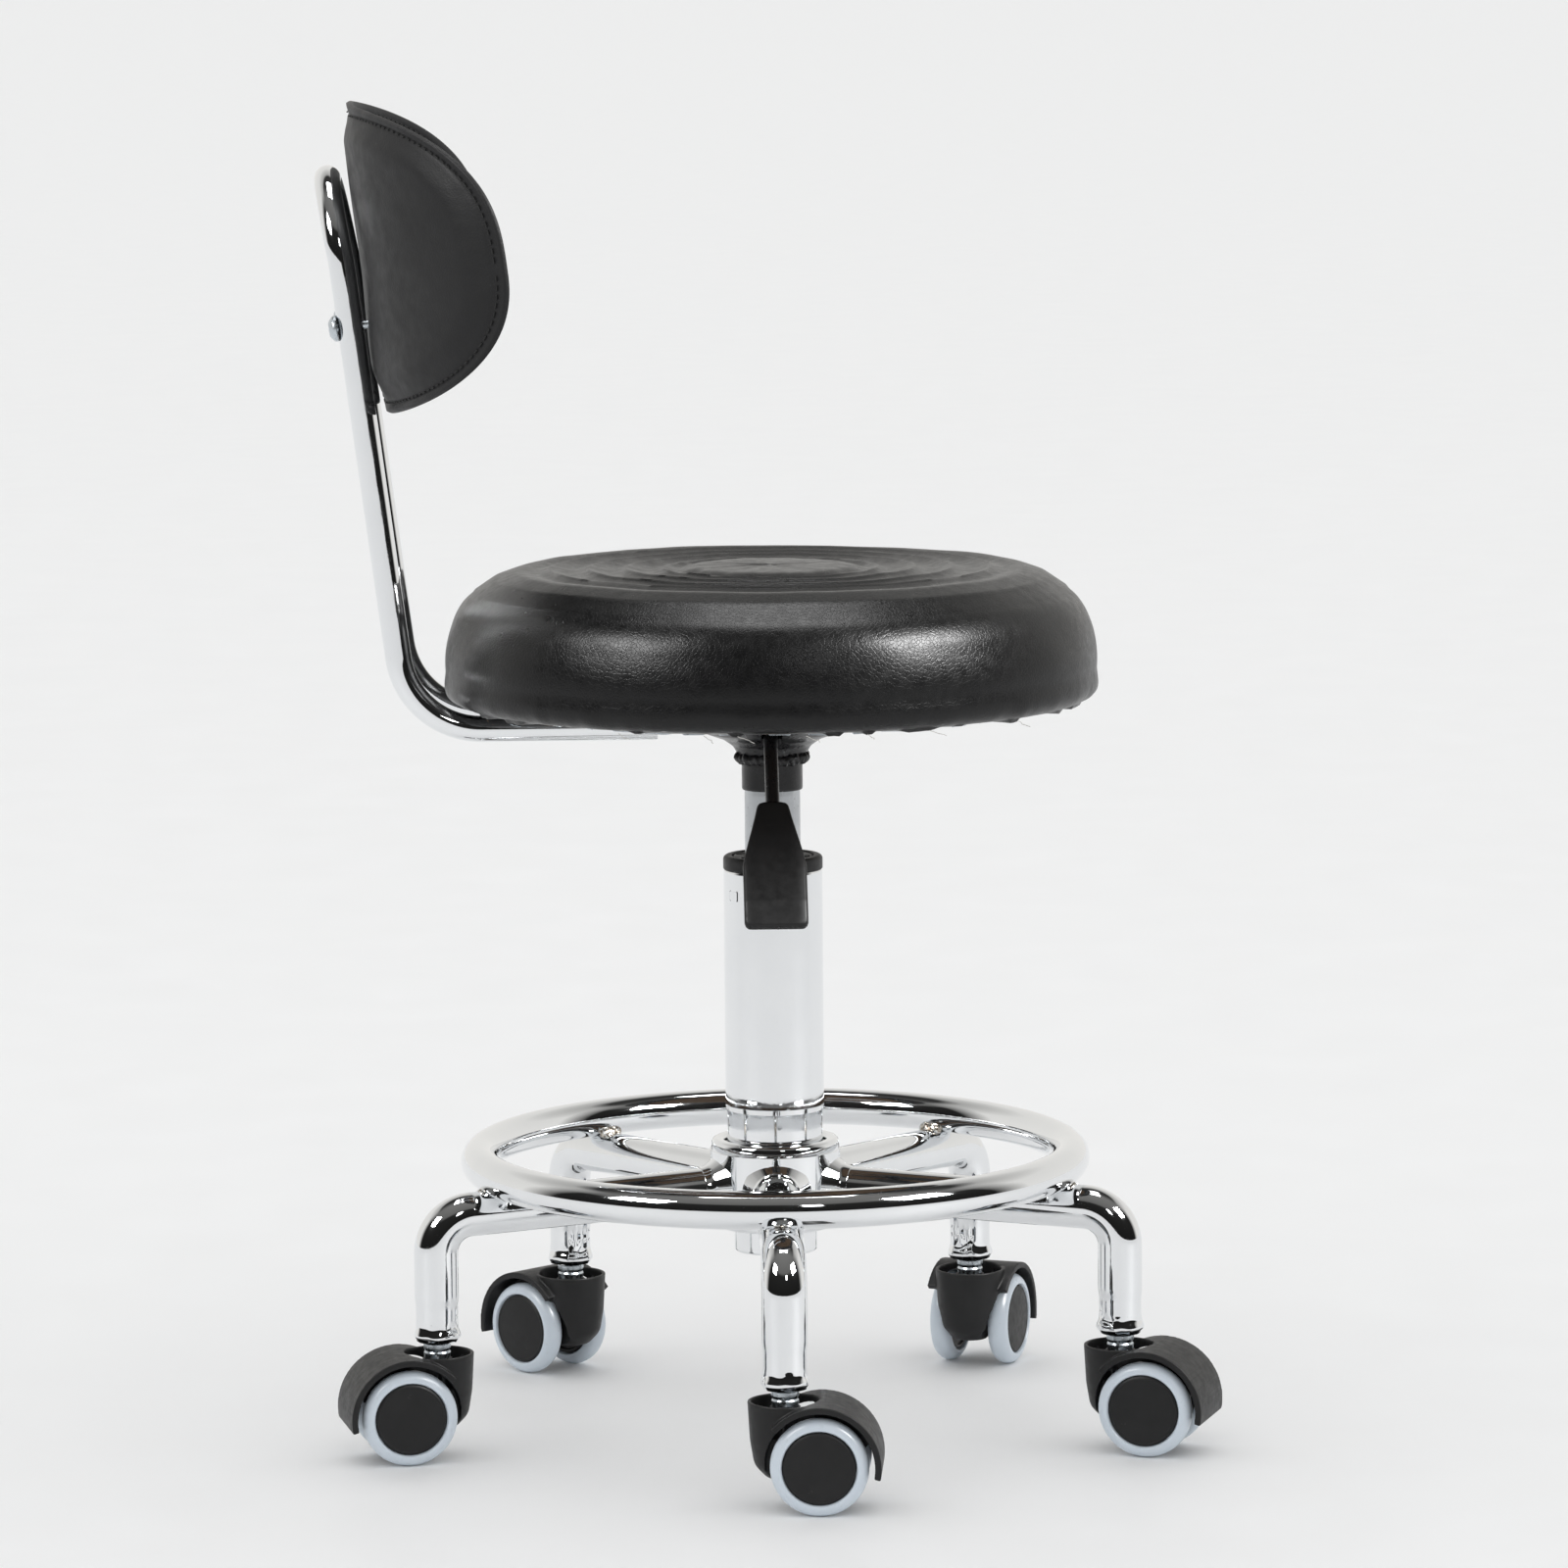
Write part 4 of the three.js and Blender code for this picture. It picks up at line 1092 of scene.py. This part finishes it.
def pad_point(along, z, depth):
    """A point of the pad: distance along its bent back, height, and depth in front of the back."""
    swing = max(abs(along) - PAD_FLAT, 0) / PAD_BEND
    reach = PAD_BEND - depth
    across = min(abs(along), PAD_FLAT) + reach * math.sin(swing)
    flat = Vector((PAD_BEND - reach * math.cos(swing), math.copysign(across, along), 0))
    rear_x = PAD_REAR_X - math.tan(FRAME_LEAN) * (z - PAD_REAR_Z) - 2.2 * ease((595 - z) / 55)
    return turn_z(PAD_TURN) @ flat + Vector((rear_x, 0, z))


def pad_edge(turn):
    """The pad's outline at a turn round its middle, squarer above than below: distance along, and height."""
    cos, sin = math.cos(turn), math.sin(turn)
    power = 2.9 if sin > 0 else 2.42
    wide = math.copysign(abs(cos) ** (2 / power), cos)
    high = math.copysign(abs(sin) ** (2 / power), sin)
    return PAD_HALF_LENGTH * wide, PAD_HALF_HEIGHT * high


def pad_sheet(shares, sectors, depth):
    """A sheet of the pad: rings of points from the edge to the middle."""
    points, rows = [], []
    for share in shares:
        first = len(points)
        if share == 0:
            points.append(pad_point(0, PAD_MID_Z, depth(0, 60)))
            rows.append([first] * sectors)
            continue
        for j in range(sectors):
            turn = math.tau * j / sectors
            wide, high = pad_edge(turn)
            inset = (1 - share) * math.hypot(wide, high)
            points.append(pad_point(wide * share, PAD_MID_Z + high * share, depth(turn, inset)))
        rows.append(list(range(first, first + sectors)))
    return points, rows


STITCH_INSET = 5.0


def build_pad():
    def front(turn, inset):
        plump = ease((inset - STITCH_INSET) / 46)
        swell = ease((inset - STITCH_INSET) / 9)
        return 6.8 + 2.2 * swell + 15.5 * plump - 1.2 * bell(inset - STITCH_INSET, 1.5)

    def rear(turn, inset):
        return 4.0 + 0.7 * bell(inset - STITCH_INSET, 1.5) - 4.0 * ease((inset - STITCH_INSET) / 20) ** 0.8

    coarse_shares = [1, 0.965, 0.93, 0.88, 0.8, 0.7, 0.58, 0.44, 0.28, 0.12, 0]
    sectors = 96
    front_points, front_rows = pad_sheet(coarse_shares, sectors, lambda t, i: front(t, i) - 1.0)
    rear_points, rear_rows = pad_sheet(coarse_shares, sectors, rear)
    first = len(front_points)
    rear_rows = [[first + i for i in row] for row in rear_rows]
    faces = skin(front_rows) + skin(rear_rows) + skin([front_rows[0], rear_rows[0]])
    points = front_points + rear_points
    pinned = list(range(2 * sectors)) + list(range(first, len(points)))
    soft = inflated(points, faces, pinned, 7, 4)
    tree = BVHTree.FromPolygons([tuple(p) for p in soft], faces)

    shares = [1, 0.994] + [1 - 0.0105 * k for k in range(1, 20)] + [0.78 - 0.03 * k for k in range(26)] + [0]
    sectors = 360
    front_points, front_rows = pad_sheet(shares, sectors, front)
    for index, point in enumerate(front_points):
        row = min(index // sectors, len(shares) - 1)
        share = shares[row]
        out = (Vector((PAD_REAR_X + PAD_BEND, 0, point.z)) - point).normalized()
        hit = tree.ray_cast(point + out * 30, -out, 60)
        gain = 0.0
        if hit[0] is not None:
            gain = max(min(30 - hit[3], 6.0), -2.0) * ease((0.93 - share) / 0.2)
        gain += 0.8 * noise.noise(Vector((point.y * 0.035, point.z * 0.035, 2))) * ease((0.9 - share) / 0.3)
        pucker = noise.noise(Vector((point.y * 0.22, point.z * 0.22, 7)))
        gain += 0.45 * pucker * bell(share - 0.93, 0.035)
        front_points[index] = point + out * gain
    rear_points, rear_rows = pad_sheet(shares, sectors, rear)
    for index, point in enumerate(rear_points):
        share = shares[min(index // sectors, len(shares) - 1)]
        out = (point - Vector((PAD_REAR_X + PAD_BEND, 0, point.z))).normalized()
        slack = noise.noise(Vector((point.y * 0.03, point.z * 0.022, 5)))
        wrinkle = noise.noise(Vector((point.y * 0.05, point.z * 0.2, 3)))
        gain = 0.9 * slack * ease((0.95 - share) / 0.2) + 0.25 * wrinkle * bell(share - 0.8, 0.13)
        rear_points[index] = point + out * gain
    first = len(front_points)
    rear_rows = [[first + i for i in row] for row in rear_rows]
    edge_points, edge_rows = [], []
    for k in range(1, 6):
        t = k / 6
        row_first = first + len(rear_points) + len(edge_points)
        for j in range(sectors):
            near, far = front_points[j], rear_points[j]
            wide, high = pad_edge(math.tau * j / sectors)
            out = (near - pad_point(0.97 * wide, PAD_MID_Z + 0.97 * high, 5)).normalized()
            edge_points.append(near.lerp(far, t) + out * (1.3 * math.sin(math.pi * t)))
        edge_rows.append(list(range(row_first, row_first + sectors)))
    faces = skin(front_rows) + skin(rear_rows) + skin([front_rows[0], *edge_rows, rear_rows[0]])
    points = front_points + rear_points + edge_points
    pad = stands_for("back_pad", (points, faces), place=BACK_PLACE, sharp=60)
    seam = []
    for k in range(1200):
        wide, high = pad_edge(math.tau * k / 1200)
        share = 1 - STITCH_INSET / math.hypot(wide, high)
        spots = [pad_point(wide * share, PAD_MID_Z + high * share, depth) for depth in (6.1, 3.9)]
        seam.append(spots)
    pitch, stitch, travelled, last = 4.4, 3.1, 0.0, None
    run = []
    for near, far in seam + seam[:1]:
        travelled += (near - last[0]).length if last else 0.0
        last = (near, far)
        run.append((travelled, near, far))
    stitches = []
    count = round(travelled / pitch)
    for face in (1, 2):
        for k in range(count):
            inside = [row[face] for row in run if 0 <= row[0] - k * travelled / count <= stitch]
            if len(inside) > 2:
                stitches.append(swept(inside, 0.42, 6))
    piece("back_pad_stitches", combined(*stitches), "back_pad", look=BLACK_THREAD, place=BACK_PLACE)


build_frame()
build_pad()


# ------------------------------------------------------------------ studio
def aim(obj, target):
    obj.rotation_mode = "QUATERNION"
    obj.rotation_quaternion = (Vector(target) - obj.location).to_track_quat("-Z", "Y")


def softbox(name, azimuth, elevation, distance, width, height, power):
    """A rectangular light. Azimuth 0 is the camera's side, towards +X is positive."""
    data = bpy.data.lights.new(name, "AREA")
    data.shape = "RECTANGLE"
    data.size, data.size_y = width, height
    data.energy = power
    light = bpy.data.objects.new(name, data)
    scene.collection.objects.link(light)
    a, e = math.radians(azimuth), math.radians(elevation)
    target = Vector((0, 0, 0.3))
    way = Vector((math.sin(a) * math.cos(e), -math.cos(a) * math.cos(e), math.sin(e)))
    light.location = target + way * distance
    aim(light, target)
    light.visible_diffuse = False


def build_world():
    """Even white light for surfaces; mirrors see a studio dark on the camera's side and pale behind."""
    world = bpy.data.worlds.new("studio")
    scene.world = world
    world.cycles.sampling_method = "NONE"  # sampling it as a lamp would light rough surfaces by the even part
    world.use_nodes = True
    nodes, links = world.node_tree.nodes, world.node_tree.links
    background = nodes["Background"]
    split = nodes.new("ShaderNodeSeparateXYZ")
    links.new(nodes.new("ShaderNodeTexCoord").outputs["Generated"], split.inputs[0])

    def ramp(value, stops):
        node = nodes.new("ShaderNodeValToRGB")
        links.new(value, node.inputs["Fac"])
        while len(node.color_ramp.elements) < len(stops):
            node.color_ramp.elements.new(0.5)
        for element, (position, grey) in zip(node.color_ramp.elements, stops):
            element.position = position
            element.color = (grey, grey * 0.985, grey * 0.95, 1)
        return node.outputs["Color"]

    def mix(share, first, second):
        node = nodes.new("ShaderNodeMix")
        node.data_type = "RGBA"
        links.new(share, node.inputs[0])
        links.new(first, node.inputs[6])
        links.new(second, node.inputs[7])
        return node.outputs[2]

    front = ramp(split.outputs["Z"], [(0.0, 0.012), (0.60, 0.02), (0.68, 0.14), (1.0, 0.20)])
    behind = ramp(split.outputs["Z"], [(0.0, 0.86), (0.50, 0.80), (0.76, 0.45), (0.82, 0.04), (0.96, 0.03),
                                       (1.0, 0.2)])
    turn = nodes.new("ShaderNodeMapRange")
    links.new(split.outputs["Y"], turn.inputs["Value"])
    turn.inputs["From Min"].default_value = -0.05
    turn.inputs["From Max"].default_value = 0.25
    studio = mix(turn.outputs["Result"], front, behind)
    even = nodes.new("ShaderNodeRGB")
    even.outputs[0].default_value = (1.04, 1.04, 1.04, 1)
    path = nodes.new("ShaderNodeLightPath")
    links.new(mix(path.outputs["Is Glossy Ray"], even.outputs[0], studio), background.inputs["Color"])


def build_camera():
    """The photographer's view: from above the back rest's top, looking down a little on the whole stool."""
    data = bpy.data.cameras.new("camera")
    data.lens, data.sensor_width = 159.64, 36
    data.clip_end = 500
    camera = bpy.data.objects.new("camera", data)
    scene.collection.objects.link(camera)
    pitch, yaw, roll = 0.1240, -0.0017, -0.0080
    ahead = Vector((-math.sin(yaw), math.cos(yaw), 0))
    right = Vector((math.cos(yaw), math.sin(yaw), 0))
    forward = ahead * math.cos(pitch) - Z * math.sin(pitch)
    up = Z * math.cos(pitch) + ahead * math.sin(pitch)
    rolled_right = right * math.cos(roll) + up * math.sin(roll)
    rolled_up = up * math.cos(roll) - right * math.sin(roll)
    camera.matrix_world = Matrix.Translation((0, -3.4752, 0.7639)) @ Matrix(
        (rolled_right, rolled_up, -forward)).transposed().to_4x4()
    scene.camera = camera


def build_studio():
    disc = turned([(0, 0), (1500, 0), (150000, 0)], 64)
    floor = loose_object("studio_floor", make_mesh("studio_floor", *disc))
    floor.data.materials.append(floor_look())
    build_world()
    build_camera()
    softbox("softbox_left", -56, 36, 2.4, 0.8, 0.7, 44)
    softbox("softbox_right", 60, 36, 2.4, 0.8, 0.7, 110)
    softbox("softbox_top", 180, 84, 2.6, 1.5, 1.1, 34)
    softbox("softbox_front", 14, 30, 3.2, 0.35, 0.5, 4)
    scene.view_settings.view_transform = "Standard"


build_studio()
